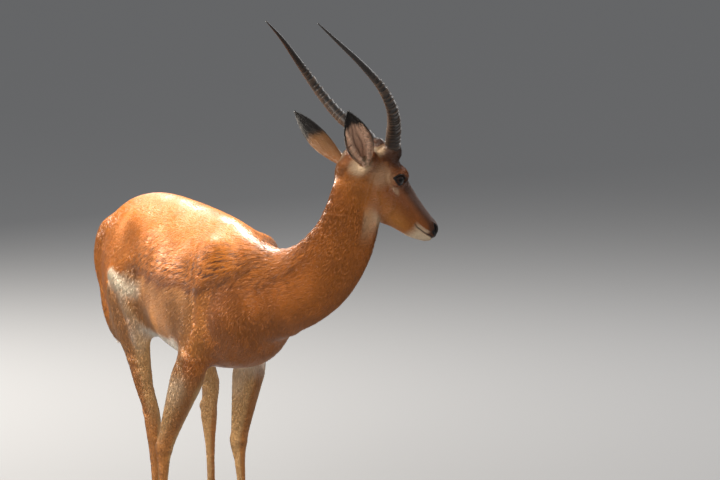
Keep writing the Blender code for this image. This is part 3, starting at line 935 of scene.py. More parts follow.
@dataclass(frozen=True)
class Claw:
    """Hoof keratin: near black, worn matt and greyer at the rim, with fine growth lines."""

    name: str = "hoof_keratin"
    roughness: float = 0.48
    wall: Shade = linear("1D1815")
    rim: Shade = linear("4B423A")
    rim_height: float = 0.03

    def make(self) -> Material:
        """Build the material.

        Returns:
            The hoof material.
        """
        made, tree, shader = blank(self.name, {"Roughness": self.roughness})
        spot = add_node(tree, "TexCoord").outputs["Object"]
        parts = add_node(tree, "SeparateXYZ", {0: spot})
        # Growth lines 2.5 mm apart up the wall.
        line = add_node(tree, "TexWave", {"Vector": spot, "Scale": 62, "Distortion": 2,
                                                    "Detail": 2}, bands_direction="Z")
        worn = add_node(tree, "MapRange", {0: parts.outputs["Z"], 1: 0, 2: self.rim_height, 3: 1, 4: 0})
        tone = add_node(tree, "Mix", {0: worn.outputs[0], 6: (*self.wall, 1), 7: (*self.rim, 1)},
                        data_type="RGBA")
        raised = add_node(tree, "Bump", {"Height": line.outputs[1], "Strength": 0.3, "Distance": 0.0005})
        tree.links.new(tone.outputs[2], shader.inputs["Base Color"])
        tree.links.new(raised.outputs[0], shader.inputs["Normal"])
        return made


@dataclass(frozen=True)
class WetEye:
    """Eyeball: dark brown iris and bar pupil under a wet clear coat."""

    name: str = "wet_eye"
    ball: Shade = linear("140A06")
    iris: Shade = linear("2C170C")
    pupil: Shade = linear("040303")
    rim: Shade = linear("0B0706")

    def make(self) -> Material:
        """Build the material."""
        made, tree, shader = blank(self.name, {"Roughness": 0.25, "Specular IOR Level": 0.1,
                                               "Coat Weight": 0.35, "Coat Roughness": 0.02})
        stored = add_node(tree, "Attribute", attribute_name="pelt")
        tree.links.new(stored.outputs["Color"], shader.inputs["Base Color"])
        return made


# ---- head details
@dataclass
class Head:
    """Lids, nostrils, lips and folds, moved into the skin of the head."""

    anatomy: Anatomy

    MOUTH = ((-0.014, -0.033), (0.000, -0.037), (0.02, -0.046), (0.045, -0.0525), (0.058, -0.052))
    GAZE = (-0.22, 0.96, 0.14)          # way the left eye looks, in face coordinates
    CORNER = (-0.82, 0, 0.57)         # from the eye to its front corner
    LENGTH, UPPER, LOWER = 0.0162, 0.0112, 0.0104      # half the opening, and its two heights

    @staticmethod
    def nostril(face: Array, mirror: int) -> Array:
        """How far points lie from a nostril: under 1 inside it.

        Args:
            face: places in face coordinates.
            mirror: 1 for the left nostril, -1 for the right.

        Returns:
            Squared distance in nostril sizes.
        """
        away = face - [0.004, 0.019 * mirror, -0.015]
        length = away @ unit(np.array([0.8, 0, 0.6]))
        width = away @ unit(np.array([-0.6, 0, 0.8]))
        return (length / 0.0095) ** 2 + ((width + 24 * length ** 2) / 0.0034) ** 2 + (
            (face[:, 1] * mirror < 0.004) * 9)

    def eye_axes(self, mirror: int) -> tuple[Array, Array, Array, Array]:
        """Centre and axes of an eye in face coordinates.

        Args:
            mirror: 1 for the left eye, -1 for the right.

        Returns:
            Centre, gaze, way to the front corner, and way to the upper lid.
        """
        low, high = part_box("eye_left" if mirror > 0 else "eye_right")
        centre = self.anatomy.to_face(((np.array(low) + np.array(high)) / 2)[None])[0]
        flip = np.array([1, mirror, 1])
        gaze = unit(np.array(self.GAZE) * flip)
        corner = np.array(self.CORNER) * flip
        corner = unit(corner - gaze * (corner @ gaze))
        upper = np.cross(gaze, corner)
        upper *= np.sign(upper[2] + upper[0])
        return centre, gaze, corner, upper

    def opening(self, face: Array, mirror: int) -> tuple[Array, Array, Array]:
        """Measure points against the almond between the lids.

        Args:
            face: places in face coordinates.
            mirror: 1 for the left eye, -1 for the right.

        Returns:
            Distance from the centre, squared distance in openings (1 on the lids' edge),
            and height above the eye's middle.
        """
        centre, gaze, corner, upper = self.eye_axes(mirror)
        away = face - centre
        far = np.linalg.norm(away, axis=1)
        front = np.maximum(away @ gaze, 1e-6)
        wide = self.anatomy.eye_radius * np.arctan2(away @ corner, front)
        high = self.anatomy.eye_radius * np.arctan2(away @ upper, front)
        middle = high + 0.0016 * (wide / self.LENGTH)
        half = np.where(middle > 0, self.UPPER, self.LOWER)
        length = np.where(wide > 0, self.LENGTH * 1.12, self.LENGTH)
        measure = np.abs(wide / length) ** 1.8 + (middle / half) ** 2
        return far, np.where(away @ gaze > 0, measure, 99), high

    def lids(self, face: Array, mirror: int) -> Array:
        """Lay the skin over the eyeball as two lids with a fold above.

        Args:
            face: places in face coordinates.
            mirror: 1 for the left eye, -1 for the right.

        Returns:
            The moved places.
        """
        centre = self.eye_axes(mirror)[0]
        far, measure, high = self.opening(face, mirror)
        radius = self.anatomy.eye_radius
        near = ramp(radius * 2.2, radius * 1.5, far)
        edge = ramp(0.86, 1.04, measure)
        out = ramp(1.1, 4.2, measure)
        lid = radius + 0.0011 + 0.0007 * bump_at(measure, 1.3, 0.35)
        lid = lid - 0.0013 * bump_at(measure, 2.7, 0.5) * (0.35 + 0.65 * (high > 0))
        covered = lid + (np.maximum(far, radius + 0.0012) - lid) * out
        sunk = radius - 0.0035              # the skin behind the ball, between the lids
        wanted = sunk + (covered - sunk) * edge
        target = far + (wanted - far) * near * (measure < 90)
        return centre + (face - centre) * (target / np.maximum(far, 1e-6))[:, None]

    def sculpt(self, points: Array, outward: Array) -> Array:
        """Move the skin of the head into its finer forms.

        Args:
            points: world places.
            outward: the skin's normals.

        Returns:
            The moved places.
        """
        share = self.anatomy.head_share(points)
        face = self.anatomy.to_face(points)
        x, y, z = face.T
        side, outline = np.abs(y), face[:, [0, 2]]
        lift = np.zeros(len(x))
        for mirror in SIDES.values():
            pit = self.nostril(face, mirror)
            lift -= 0.0068 * ramp(1.3, 0.2, pit)
            lift += 0.0016 * bump_at(pit, 2.3, 0.8)
        lips, _ = along_line(outline, self.MOUTH)
        lift -= 0.0016 * bump_at(lips, 0, 0.0014) * ramp(0.064, 0.052, x)
        lift += 0.001 * bump_at(lips, 0.006, 0.003) * ramp(0.058, 0.04, x)
        lift -= 0.0009 * bump_at(y, 0, 0.0012) * ramp(0.006, 0, x) * ramp(-0.036, -0.032, z)
        ridge, _ = along_line(outline, ((0.17, -0.058), (0.14, -0.056), (0.105, -0.046)))
        lift += 0.0016 * bump_at(ridge, 0, 0.006) * ramp(0.015, 0.025, side)
        pit = np.hypot(x - 0.135, (z + 0.03) * 1.4)
        lift -= 0.0022 * bump_at(pit, 0, 0.016) * ramp(0.012, 0.022, side)
        temple = np.hypot(x - 0.222, z + 0.05)
        lift -= 0.002 * bump_at(temple, 0, 0.016) * ramp(0.02, 0.03, side)
        brow, _ = along_line(outline, ((0.16, -0.006), (0.178, -0.002), (0.2, -0.006), (0.212, -0.018)))
        lift += 0.0034 * bump_at(brow, 0, 0.0075) * ramp(0.026, 0.036, side)
        jaw, _ = along_line(outline, ((0.195, -0.125), (0.215, -0.09), (0.225, -0.065)))
        lift -= 0.0016 * bump_at(jaw, 0, 0.007) * ramp(0.02, 0.03, side)
        moved = self.anatomy.to_face(points + outward * (lift * share)[:, None])
        for mirror in SIDES.values():
            moved = self.lids(moved, mirror)
        return points + (self.anatomy.from_face(moved) - points) * ramp(0, 0.5, share)[:, None]


@dataclass
class Eyes:
    """The two eyeballs, with a slight cornea, dark iris and bar pupil."""

    cornea: float = 0.001          # how far it bulges
    gap: float = 0.0004             # to the lids

    def build(self, head: Head, finish: WetEye) -> None:
        """Make both eyes.

        Args:
            head: gives the eyes' places and axes.
            finish: the eye's colours and material.
        """
        anatomy, material = head.anatomy, finish.make()
        for name, mirror in SIDES.items():
            centre, gaze, corner, upper = head.eye_axes(mirror)
            bm = bmesh.new()
            bmesh.ops.create_uvsphere(bm, u_segments=48, v_segments=32, radius=1)
            ball = np.array([vert.co for vert in bm.verts])
            front = ball[:, 2]
            size = anatomy.eye_radius - self.gap + self.cornea * ramp(0.62, 0.95, front)
            local = centre + size[:, None] * (ball @ np.array([corner, upper, gaze]))
            for vert, spot in zip(bm.verts, anatomy.from_face(local)):
                vert.co = spot
            obj = finish_mesh(f"eyeball_{name}", bm)
            obj.data = in_order(obj.data)
            far = np.hypot(ball[:, 0], ball[:, 1])
            bar = (ball[:, 0] / 0.46) ** 2 + (ball[:, 1] / 0.22) ** 2
            paint(obj.data, blend(
                plain(finish.ball, len(ball)),
                (finish.iris, bump_at(far, 0.5, 0.16) * ramp(0, 0.2, front)),
                (finish.pupil, ramp(1.25, 0.85, bar) * (front > 0)),
                (finish.rim, ramp(0.7, 0.78, far) * (front > 0))))
            obj.data.materials.append(material)
            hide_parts(f"eye_{name}")
            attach(obj, "root")


# ---- horns, ears, hooves
@dataclass
class Horns:
    """Lyre-shaped horns with ridges on their lower two thirds."""

    radius: float = 0.0192
    rises: tuple[float, float] = (0.975, 1.012)        # left and right
    right: tuple = ((0.008, 0.029, -0.026), (0.006, 0.036, 0.008), (0.017, 0.06, 0.045),
                    (0.043, 0.103, 0.08), (0.078, 0.146, 0.12), (0.119, 0.167, 0.168),
                    (0.164, 0.161, 0.217), (0.211, 0.139, 0.266), (0.254, 0.119, 0.31))
    left: tuple = ((0.008, 0.029, -0.026), (0.01, 0.039, 0.003), (0.025, 0.065, 0.035),
                   (0.054, 0.11, 0.067), (0.082, 0.148, 0.116), (0.116, 0.165, 0.17),
                   (0.158, 0.1575, 0.221), (0.2065, 0.136, 0.269), (0.254, 0.119, 0.31))
    root: tuple[float, float, float] = (0.232, 0, 0.014)       # between the horns, in face coordinates
    ridges: int = 35
    rings: int = 300
    sides: int = 30

    def build(self, anatomy: Anatomy, finish: Horn) -> None:
        """Make both horns.

        Args:
            anatomy: the body's landmarks.
            finish: the horn's colours and material.
        """
        material = finish.make()
        frame = np.array(anatomy.upright(self.root))
        ahead = -frame[:3, 0]
        for name, rise, rows in zip(SIDES, self.rises, (self.left, self.right)):
            path = spline([(x, SIDES[name] * y, rise * z) for x, y, z in rows], self.rings)
            path = path @ frame[:3, :3].T + frame[:3, 3]
            run = np.concatenate([[0], np.cumsum(np.linalg.norm(np.diff(path, axis=0), axis=1))])
            even = np.linspace(0, run[-1], self.rings)
            path = np.column_stack([np.interp(even, run, path[:, k]) for k in range(3)])
            taper = np.interp(even, run, np.linspace(0, 1, self.rings))
            tangent = unit(np.gradient(path, axis=0))
            fore = unit(ahead - tangent * (tangent @ ahead)[:, None])
            side = np.cross(tangent, fore)
            lower, upper = self.profile(taper, 0), self.profile(taper, 1)

            def shape(along: Array, around: Array) -> Array:
                """Bend the grid into the horn.

                Args:
                    along: shares from root to tip.
                    around: shares round it.

                Returns:
                    World places.
                """
                row = np.clip((along * (self.rings - 1)).round().astype(int), 0, self.rings - 1)
                turn = around * math.tau
                facing = 0.5 + 0.5 * np.cos(turn)
                thick = lower[row] + (upper[row] - lower[row]) * facing
                return (path[row] + fore[row] * (thick * np.cos(turn))[:, None]
                        + side[row] * (0.92 * thick * np.sin(turn))[:, None])

            obj = finish_mesh(f"ridged_horn_{name}", wrapped_grid(self.rings, self.sides + 1, shape))
            spots = coords(obj.data)
            far, share = along_line(spots, path[::6])
            smooth = self.smooth(np.interp(share, np.linspace(0, 1, self.rings), taper))
            crest = ramp(-0.0008, 0.0016, far - smooth * 0.97) * ramp(0.7, 0.58, share)
            paint(obj.data, blend(
                plain(finish.deep, len(spots)),
                (finish.worn, crest * (0.75 + 0.2 * waves(spots, 0.02, 5))),
                (finish.base, ramp(0.3, 0, share) * (1 - crest) * 0.7)))
            obj.data.materials.append(material)
            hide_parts(f"horn_{name}")
            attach(obj, "root")

    def smooth(self, share: Array) -> Array:
        """Radius without ridges, for shares of the length."""
        return self.radius * ((1 - np.clip(share, 0, 1) ** 1.1) ** 0.85 + 0.1) - 0.0008

    def profile(self, taper: Array, front: int) -> Array:
        """Radius of each ring, with sharp-lipped ridges that are strongest in front.

        Args:
            taper: where each ring stands on the horn's taper.
            front: 1 for the front of the horn, 0 for its back.

        Returns:
            Radii in metres.
        """
        share = np.linspace(0, 1, self.rings)
        phase = share * self.ridges + 0.22 * np.sin(share * 41) + 0.15 * np.sin(share * 97 + 1)
        saw = (phase % 1) ** 1.4
        height = (0.0008 + 0.0026 * front) * (1 + 0.25 * np.sin(share * 61 + 2))
        height = height * ramp(0.72, 0.56, share) * ramp(0.04, 0.09, share)
        return np.maximum(self.smooth(taper) + height * (saw - 0.35), 0.0006)


@dataclass
class Ear:
    """One leaf-shaped, cupped ear."""

    side: int
    anatomy: Anatomy
    length: float = 0.18
    wall: float = 0.0026
    sunk: float = 0.018             # length of the root inside the head
    set_back: float = 0.012         # from the middle of the cup to the ear's axis
    # Share of the length, half the width, and half the angle of the cup in degrees.
    rows: tuple = ((0.00, 0.009, 150), (0.12, 0.013, 140), (0.26, 0.022, 105), (0.42, 0.032, 85),
                   (0.58, 0.035, 78), (0.74, 0.03, 70), (0.88, 0.018, 60), (1.00, 0.003, 50))
    steps: tuple[int, int] = (46, 26)
    slim: float = field(init=False)
    bow: Array = field(init=False)
    lean: Array = field(init=False)
    opens: Array = field(init=False)
    across: Array = field(init=False)
    root: Array = field(init=False)

    def __post_init__(self) -> None:
        """Work out the ear's own axes in world coordinates."""
        lean = {1: (0.6, 0.4, 0.75), -1: (0.5, -0.4, 0.8)}[self.side]
        facing = {1: (-0.8, 0.55, 0.25), -1: (0.36, -0.9, 0.1)}[self.side]
        frame = np.array(self.anatomy.upright((0.266, self.side * 0.044, -0.068)))
        lean, facing = unit(frame[:3, :3] @ lean), frame[:3, :3] @ facing
        self.lean, self.root = lean, frame[:3, 3]
        self.opens = unit(facing - lean * (facing @ lean))
        self.across = np.cross(lean, self.opens)
        self.slim = 0.78 if self.side > 0 else 0.98
        self.bow = -self.across * np.sign(self.across[2]) * (0.018 if self.side > 0 else 0)

    def section(self, share: Array) -> tuple[Array, Array]:
        """The ear's cup at shares of its length.

        Args:
            share: shares from root to tip.

        Returns:
            Half the cup's angle, and its radius.
        """
        table = spline(self.rows, 200)
        half = self.slim * np.interp(share, table[:, 0], table[:, 1])
        cup = np.radians(np.interp(share, table[:, 0], table[:, 2]))
        return cup, half / np.sin(np.minimum(cup, math.pi / 2))

    def surface(self, share: Array, spread: Array) -> Array:
        """Places on the ear's outer wall.

        Args:
            share: share of the length from root to tip.
            spread: -1 at one edge, 1 at the other.

        Returns:
            World places.
        """
        cup, radius = self.section(share)
        turn = math.pi + cup * spread
        middle = (np.outer(self.length * share - self.sunk, self.lean)
                  + np.outer(radius - self.set_back, self.opens))
        middle = middle + np.outer(np.sin(np.pi * np.clip(share, 0, 1)), self.bow)
        arm = np.outer(np.cos(turn), self.opens) + np.outer(np.sin(turn), self.across)
        curl = 0.0012 * waves(np.column_stack([share, spread, share * 0]), 0.45, 21) * (1 - share)
        return self.root + middle + arm * (radius - 0.0009 + curl)[:, None]

    def build(self) -> tuple[Mesh, Array]:
        """Make the ear's shell.

        Returns:
            Its mesh, and the share along, spread across and wall (0 outer, 1 inner) of each vertex.
        """
        bm = wrapped_grid(*self.steps, lambda along, across: self.surface(along, across * 2 - 1),
                          closed=False)
        outer = set(bm.verts)
        bm.normal_update()
        if sum(face.normal.dot(Vector(self.opens)) for face in bm.faces) > 0:
            bmesh.ops.reverse_faces(bm, faces=bm.faces)
        bmesh.ops.solidify(bm, geom=list(bm.faces), thickness=self.wall)
        inner = np.array([float(vert not in outer) for vert in bm.verts])
        mesh = bpy.data.meshes.new("ear")
        bm.to_mesh(mesh)
        bm.free()
        return mesh, np.column_stack([self.measure(coords(mesh)), inner])

    def measure(self, points: Array) -> Array:
        """Find where points lie on the ear.

        Args:
            points: world places.

        Returns:
            Share along and spread across the ear.
        """
        away = points - self.root
        share = np.clip((away @ self.lean + self.sunk) / self.length, 0, 1)
        away = away - np.outer(np.sin(np.pi * share), self.bow)
        cup, radius = self.section(share)
        depth = away @ self.opens - (radius - self.set_back)
        turn = np.arctan2(away @ self.across, -depth)
        return np.column_stack([share, np.clip(-turn / cup, -1.1, 1.1)])

    def colours(self, leaf: Array, look: Pelage) -> Array:
        """Colours of the ear: pale inside with dark veins, dark tip and edges.

        Args:
            leaf: share along, spread across and wall of each point.
            look: the coat's colours.

        Returns:
            Rows of colour.
        """
        share, spread, inner = leaf.T
        back = blend(plain(look.ear_back, len(leaf)), (look.spine, ramp(0.45, 0.1, share) * 0.35))
        hollow = plain(look.ear_inside, len(leaf))
        for line in (-0.55, -0.2, 0.15, 0.5):
            bent = line * (1 - 0.35 * share) + 0.05 * np.sin(14 * share + 5 * line)
            vein = bump_at(spread, bent, 0.05) * ramp(0.18, 0.34, share) * ramp(0.9, 0.7, share)
            hollow = blend(hollow, (look.ear_vein, vein * 0.85))
        mark = bump_at(share, 0.42, 0.06) * ramp(0.72, 0.9, spread * -self.side)
        hollow = blend(hollow, (look.bridge, ramp(0.22, 0.08, share) * 0.8), (look.black, mark * 0.85))
        reach = 0.1 if self.side < 0 else 0.26
        tip = ramp(0.8 - reach, 0.88 - reach * 0.8, share + 0.1 * np.abs(spread) - 0.03)
        edge = ramp(0.88, 0.98, np.abs(spread)) * ramp(0.3, 0.5, share)
        return blend(back, (hollow, inner), (look.black, tip), (look.black, edge * 0.8))


@dataclass
class Hooves:
    """Eight claws, each with a rounded wall, growth rings and a flat sole."""

    rows: int = 26
    sides: int = 36

    def build(self, finish: Material) -> None:
        """Make all the claws inside the boxes of their solids.

        Args:
            finish: the hoof material.
        """
        for limb in ("fore", "hind"):
            for foot in SIDES:
                for toe in SIDES:
                    self.claw(f"{limb}_{foot}_{toe}_toe", finish)

    def claw(self, name: str, finish: Material) -> None:
        """Make one claw.

        Args:
            name: which claw.
            finish: the hoof material.
        """
        low, high = (np.array(corner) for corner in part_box(f"hoof_{name}"))
        size, middle = high - low, (low + high) / 2
        inner = 1 if name.endswith("right_toe") else -1

        def shape(along: Array, around: Array) -> Array:
            """Bend the grid into the claw.

            Args:
                along: shares up it, with the closed sole and top.
                around: shares round it.

            Returns:
                World places.
            """
            up = np.clip((along - 0.16) / 0.68, 0, 1)
            shut = np.minimum(np.clip(along / 0.16, 0, 1), np.clip((1 - along) / 0.16, 0, 1)) ** 0.5
            turn = around * math.tau
            taper = 1 - 0.48 * np.maximum(0, np.cos(turn)) ** 2
            reach = size[0] / 2 * (1 - 0.26 * up - 0.01 * np.sin(up * 34) * (up < 0.95)) * shut
            wide = size[1] / 2 * (1 - 0.05 * up) * shut
            forward = -0.2 * size[0] * up ** 1.2
            flat = np.sin(turn) * taper
            flat = np.where(flat * inner > 0, flat * 0.86, flat)
            return np.column_stack([middle[0] + forward + reach * np.cos(turn),
                                    middle[1] + wide * flat, low[2] + size[2] * up])

        obj = finish_mesh(f"claw_{name}", wrapped_grid(self.rows, self.sides + 1, shape))
        obj.data.materials.append(finish)
        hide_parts(f"hoof_{name}")
        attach(obj, "root")


# ---- skin
@dataclass
class Skin:
    """One hide over trunk, neck, head, limbs and tail, with the ears grown on to it."""

    anatomy: Anatomy
    head: Head
    solids: dict[str, Object]
    voxel: float = 0.0048
    swell: float = 0.0006           # closes the gaps between the solids
    trunk_depth: float = 0.003     # of the hide below the solids
    face_depth: float = 0.0009
    leg_depth: float = 0.0014
    shadow: float = 0.92            # of the hide's colour, under the hair
    tail_line: tuple = ((-0.63, 0, 0.836), (-0.672, 0, 0.826), (-0.696, 0, 0.792), (-0.706, 0, 0.73),
                        (-0.709, 0, 0.68), (-0.709, 0, 0.64))
    ears: dict[str, Ear] = field(default_factory=dict)
    leaf: Array = field(init=False)
    which_ear: Array = field(init=False)

    def gather(self) -> Object:
        """Join copies of the solids of flesh, filled eye sockets and a slim dock of the tail.

        Returns:
            The joined flesh.
        """
        bm = bmesh.new()
        for name in ("trunk", "neck", "head") + LIMBS:
            part = bmesh.new()
            part.from_mesh(self.solids[name].data)
            bmesh.ops.remove_doubles(part, verts=part.verts, dist=1e-5)
            part.normal_update()
            for vert in part.verts:
                vert.co += vert.normal * self.swell
            mesh = bpy.data.meshes.new("part")
            part.to_mesh(mesh)
            part.free()
            bm.from_mesh(mesh)
            bpy.data.meshes.remove(mesh)
        socket = self.anatomy.eye_radius + 0.0016
        for mirror in SIDES.values():
            centre = self.anatomy.from_face(self.head.eye_axes(mirror)[0][None])[0]
            bmesh.ops.create_uvsphere(bm, u_segments=24, v_segments=16, radius=socket,
                                      matrix=Matrix.Translation(centre))
        for a, b in zip(self.tail_line, self.tail_line[1:]):
            radius = 0.0095 - 0.0028 * (0.84 - a[2]) / 0.2
            for share in np.linspace(0, 1, 6):
                spot = np.array(a) * (1 - share) + np.array(b) * share + self.anatomy.floor_below_withers
                bmesh.ops.create_icosphere(bm, subdivisions=2, radius=radius,
                                           matrix=Matrix.Translation(spot))
        return finish_mesh("hide", bm, outward=False)

    def fuse(self, obj: Object) -> None:
        """Make the joined flesh one even, smooth surface.

        Args:
            obj: the joined flesh.
        """
        remesh = obj.modifiers.new("fuse", "REMESH")
        remesh.mode, remesh.voxel_size = "VOXEL", self.voxel
        bake(obj)
        anatomy, points = self.anatomy, coords(obj.data)
        body = anatomy.to_body(points)
        x, y, z = body.T
        line, back = anatomy.from_poll(points)
        haunch = distance(np.column_stack([x, np.abs(y), z]), (-0.395, 0.105, 0.8))
        groups = {
            "bulk": ramp(0.47, 0.56, z) * (1 - anatomy.head_share(points)) * ramp(-0.69, -0.675, x),
            "withers": ramp(0.24, 0.12, distance(body, (0.06, 0.01, 0.84))),
            "poll": ramp(0.055, 0.015, np.abs(line)) * ramp(-0.02, 0.02, back - 0.16) * ramp(0.66, 0.7, z),
            "haunch": ramp(0.17, 0.07, haunch),
            "nape": ramp(0.125, 0.05, distance(body, (0.116, -0.004, 0.826))),
            "brisket": ramp(0.1, 0.045, distance(body, (0.185, 0.04, 0.625)))}
        for name, weights in groups.items():
            group_weights(obj, name, weights)
        for turns, group in ((4, ""), (60, "bulk"), (220, "withers"), (60, "poll")):
            soften(obj, turns, group)
        for turns, group in ((260, "haunch"), (300, "nape"), (70, "brisket")):
            smoother(obj, turns, group)
            bake(obj)

    def refine(self, obj: Object) -> None:
        """Give the head a finer grid, and its eyes, nose and mouth a finer one still.

        Args:
            obj: the hide.
        """
        bm = bmesh.new()
        bm.from_mesh(obj.data)
        for level in (0, 1):
            points = np.array([vert.co for vert in bm.verts])
            face = self.anatomy.to_face(points)
            if level == 0:
                wanted = self.anatomy.head_share(points) > 0.3
            else:
                wanted = distance(face, (0.016, 0, -0.032)) < 0.042
                for mirror in SIDES.values():
                    wanted |= distance(face, self.head.eye_axes(mirror)[0]) < 0.034
            chosen = {vert for vert, flag in zip(bm.verts, wanted) if flag}
            edges = [edge for edge in bm.edges if edge.verts[0] in chosen and edge.verts[1] in chosen]
            bmesh.ops.subdivide_edges(bm, edges=edges, cuts=1, use_grid_fill=True, smooth=0.6)
        bm.to_mesh(obj.data)
        bm.free()
        group_weights(obj, "face", self.anatomy.head_share(coords(obj.data)))
        soften(obj, 6, "face")

    def model(self, obj: Object) -> None:
        """Sink the hide by the coat's depth and work in muscles, folds and the face.

        Args:
            obj: the hide.
        """
        mesh, anatomy = obj.data, self.anatomy
        points, outward = coords(mesh), normals(mesh)
        body = anatomy.to_body(points)
        head, leg = anatomy.head_share(points), anatomy.leg_share(points)
        lift = -(self.trunk_depth * (1 - head) * (1 - leg) + self.face_depth * head + self.leg_depth * leg)
        x, y, z = body.T
        outline, outer = body[:, [0, 2]], ramp(0.05, 0.09, np.abs(y))
        # Flank fold, from the point of the stifle up to the loin.
        fold, _ = along_line(outline, ((-0.47, 0.7), (-0.42, 0.665), (-0.385, 0.615)))
        lift += 0.0045 * bump_at(fold, 0, 0.016) * outer
        hollow = np.hypot(x + 0.345, z - 0.7)
        lift -= 0.005 * bump_at(hollow, 0, 0.05) * outer
        loin = np.hypot(x + 0.335, z - 0.8)
        lift += 0.005 * bump_at(loin, 0, 0.055) * outer
        # Crease behind the upper arm and below the shoulder blade.
        crease, _ = along_line(outline, anatomy.arm_edge)
        lift -= 0.0055 * bump_at(crease, 0, 0.018) * outer
        swell = bump_at(anatomy.ahead_of_arm(body), 0.03, 0.026)
        lift += 0.0045 * swell * ramp(0.55, 0.6, z) * ramp(0.76, 0.7, z) * outer
        # Thin folds round the base of the turned neck.
        share, _ = anatomy.along_neck(body)
        clear = ramp(0.09, 0.17, distance(body, (0.125, 0, 0.82)))
        fold = np.sin(share * 60 + 2 * waves(body, 0.12, 8))
        lift += 0.0012 * fold * anatomy.neck_share(points) * clear * bump_at(share, 0.3, 0.14)
        rump = np.hypot(x + 0.6, z - 0.86)
        lift += 0.003 * bump_at(rump, 0, 0.05)
        lift += self.limbs(points, outward)
        points = points + outward * lift[:, None]
        place(mesh, points)
        place(mesh, self.head.sculpt(points, normals(mesh)))

    def limbs(self, points: Array, outward: Array) -> Array:
        """Hocks, knees, fetlocks and tendons of the limbs.

        Args:
            points: world places.
            outward: the skin's normals.

        Returns:
            How far to lift the skin.
        """
        z = self.anatomy.to_body(points)[:, 2]
        which, _ = self.anatomy.nearest_limb(points)
        hind = which >= 2
        nx, ny, _ = outward.T
        rear, front, flat = ramp(0.2, 0.9, -nx), ramp(0.2, 0.9, nx), ramp(0.5, 0.9, np.abs(ny))
        lift = 0.0075 * bump_at(z, 0.352, 0.013) * rear * hind
        lift -= 0.004 * bump_at(z, 0.405, 0.03) * rear * hind
        lift -= 0.0025 * bump_at(z, 0.3, 0.02) * rear * hind
        lift += 0.0022 * bump_at(z, 0.312, 0.016) * front * ~hind
        lift += 0.003 * bump_at(z, 0.318, 0.009) * rear * ~hind
        lift -= 0.0016 * flat * ramp(0.14, 0.17, z) * ramp(0.3, 0.26, z)
        lift += 0.0022 * bump_at(z, 0.108, 0.01) * rear
        lift -= 0.0018 * bump_at(z, 0.075, 0.012)
        return lift * self.anatomy.leg_share(points)

    def with_ears(self, shades: Array, leaf: Array, which: Array, look: Pelage) -> Array:
        """Put the ears' colours in place of the body's.

        Args:
            shades: rows of colour.
            leaf: places on the ears.
            which: 0 off the ears, 1 on the left one, -1 on the right.
            look: the coat's colours.

        Returns:
            Rows of colour.
        """
        for name, side in SIDES.items():
            mine = which == side
            shades[mine] = self.ears[name].colours(leaf[mine], look)
        return shades

    def build(self, markings: Markings, finish: Material) -> Object:
        """Make the hide, its ears and its colours.

        Args:
            markings: colours of the body.
            finish: the hide's material.

        Returns:
            The hide.
        """
        obj = self.gather()
        self.fuse(obj)
        self.refine(obj)
        self.model(obj)
        bm = bmesh.new()
        bm.from_mesh(obj.data)
        count, leaves, which = len(bm.verts), [], []
        for name, side in SIDES.items():
            self.ears[name] = Ear(side, self.anatomy)
            mesh, leaf = self.ears[name].build()
            bm.from_mesh(mesh)
            leaves.append(leaf)
            which.append(np.full(len(leaf), side))
        bm.to_mesh(obj.data)
        bm.free()
        obj.data = in_order(obj.data)
        self.leaf = np.vstack([np.zeros((count, 3)), *leaves])
        self.which_ear = np.concatenate([np.zeros(count, int), *which])
        points, outward = coords(obj.data), normals(obj.data)
        shades = self.with_ears(markings.at(points, outward), self.leaf, self.which_ear, markings.pelage)
        face = self.anatomy.to_face(points)
        for mirror in SIDES.values():
            far, measure, _ = self.head.opening(face, mirror)
            shades = blend(shades, (markings.pelage.bare, ramp(2.15, 1.6, measure) * (far < 0.03)))
        paint(obj.data, shades * self.shadow)
        obj.data.materials.append(finish)
        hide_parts(*FLESH)
        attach(obj, "root")
        return obj


def group_weights(obj: Object, name: str, weights: Array) -> None:
    """Store weights, in steps of a twentieth, as a vertex group."""
    group = obj.vertex_groups.new(name=name)
    levels = (np.clip(weights, 0, 1) * 20).round().astype(int)
    for level in range(1, 21):
        group.add(np.flatnonzero(levels == level).tolist(), level / 20, "REPLACE")


def smoother(obj: Object, turns: int, group: str) -> None:
    """Add a modifier that smooths a group of vertices, or all where the group has no name."""
    soft = obj.modifiers.new("soft", "SMOOTH")
    soft.factor, soft.iterations, soft.vertex_group = 0.5, turns, group


def soften(obj: Object, turns: int, group: str = "") -> None:
    """Smooth a surface twice over and add back what the first pass shrank.

    Args:
        obj: the object to smooth.
        turns: steps in each pass.
        group: the vertex group that limits it, or none.
    """
    passes = []
    for _ in range(2):
        smoother(obj, turns, group)
        seen = obj.evaluated_get(bpy.context.evaluated_depsgraph_get())
        passes.append(coords(seen.data))
    obj.modifiers.clear()
    place(obj.data, 2 * passes[0] - passes[1])


# ---- coat
class Form(Enum):
    """Two shapes of tuft: a straight one of 4 triangles, and a bowed one of 10."""

    BLADE = 4
    BENT = 10


@dataclass
class Tufts:
    """Many tufts: one row of each array for each tuft."""

    root: Array
    outward: Array
    lie: Array
    length: Array
    width: Array
    lift: Array          # height of the tip above the skin
    shade: Array
    spot: Array          # place on the unwrapped skin, 0 to 1 both ways

    def part(self, rows: Array) -> "Tufts":
        """Only some of the tufts."""
        return Tufts(*(getattr(self, name)[rows] for name in self.__dataclass_fields__))


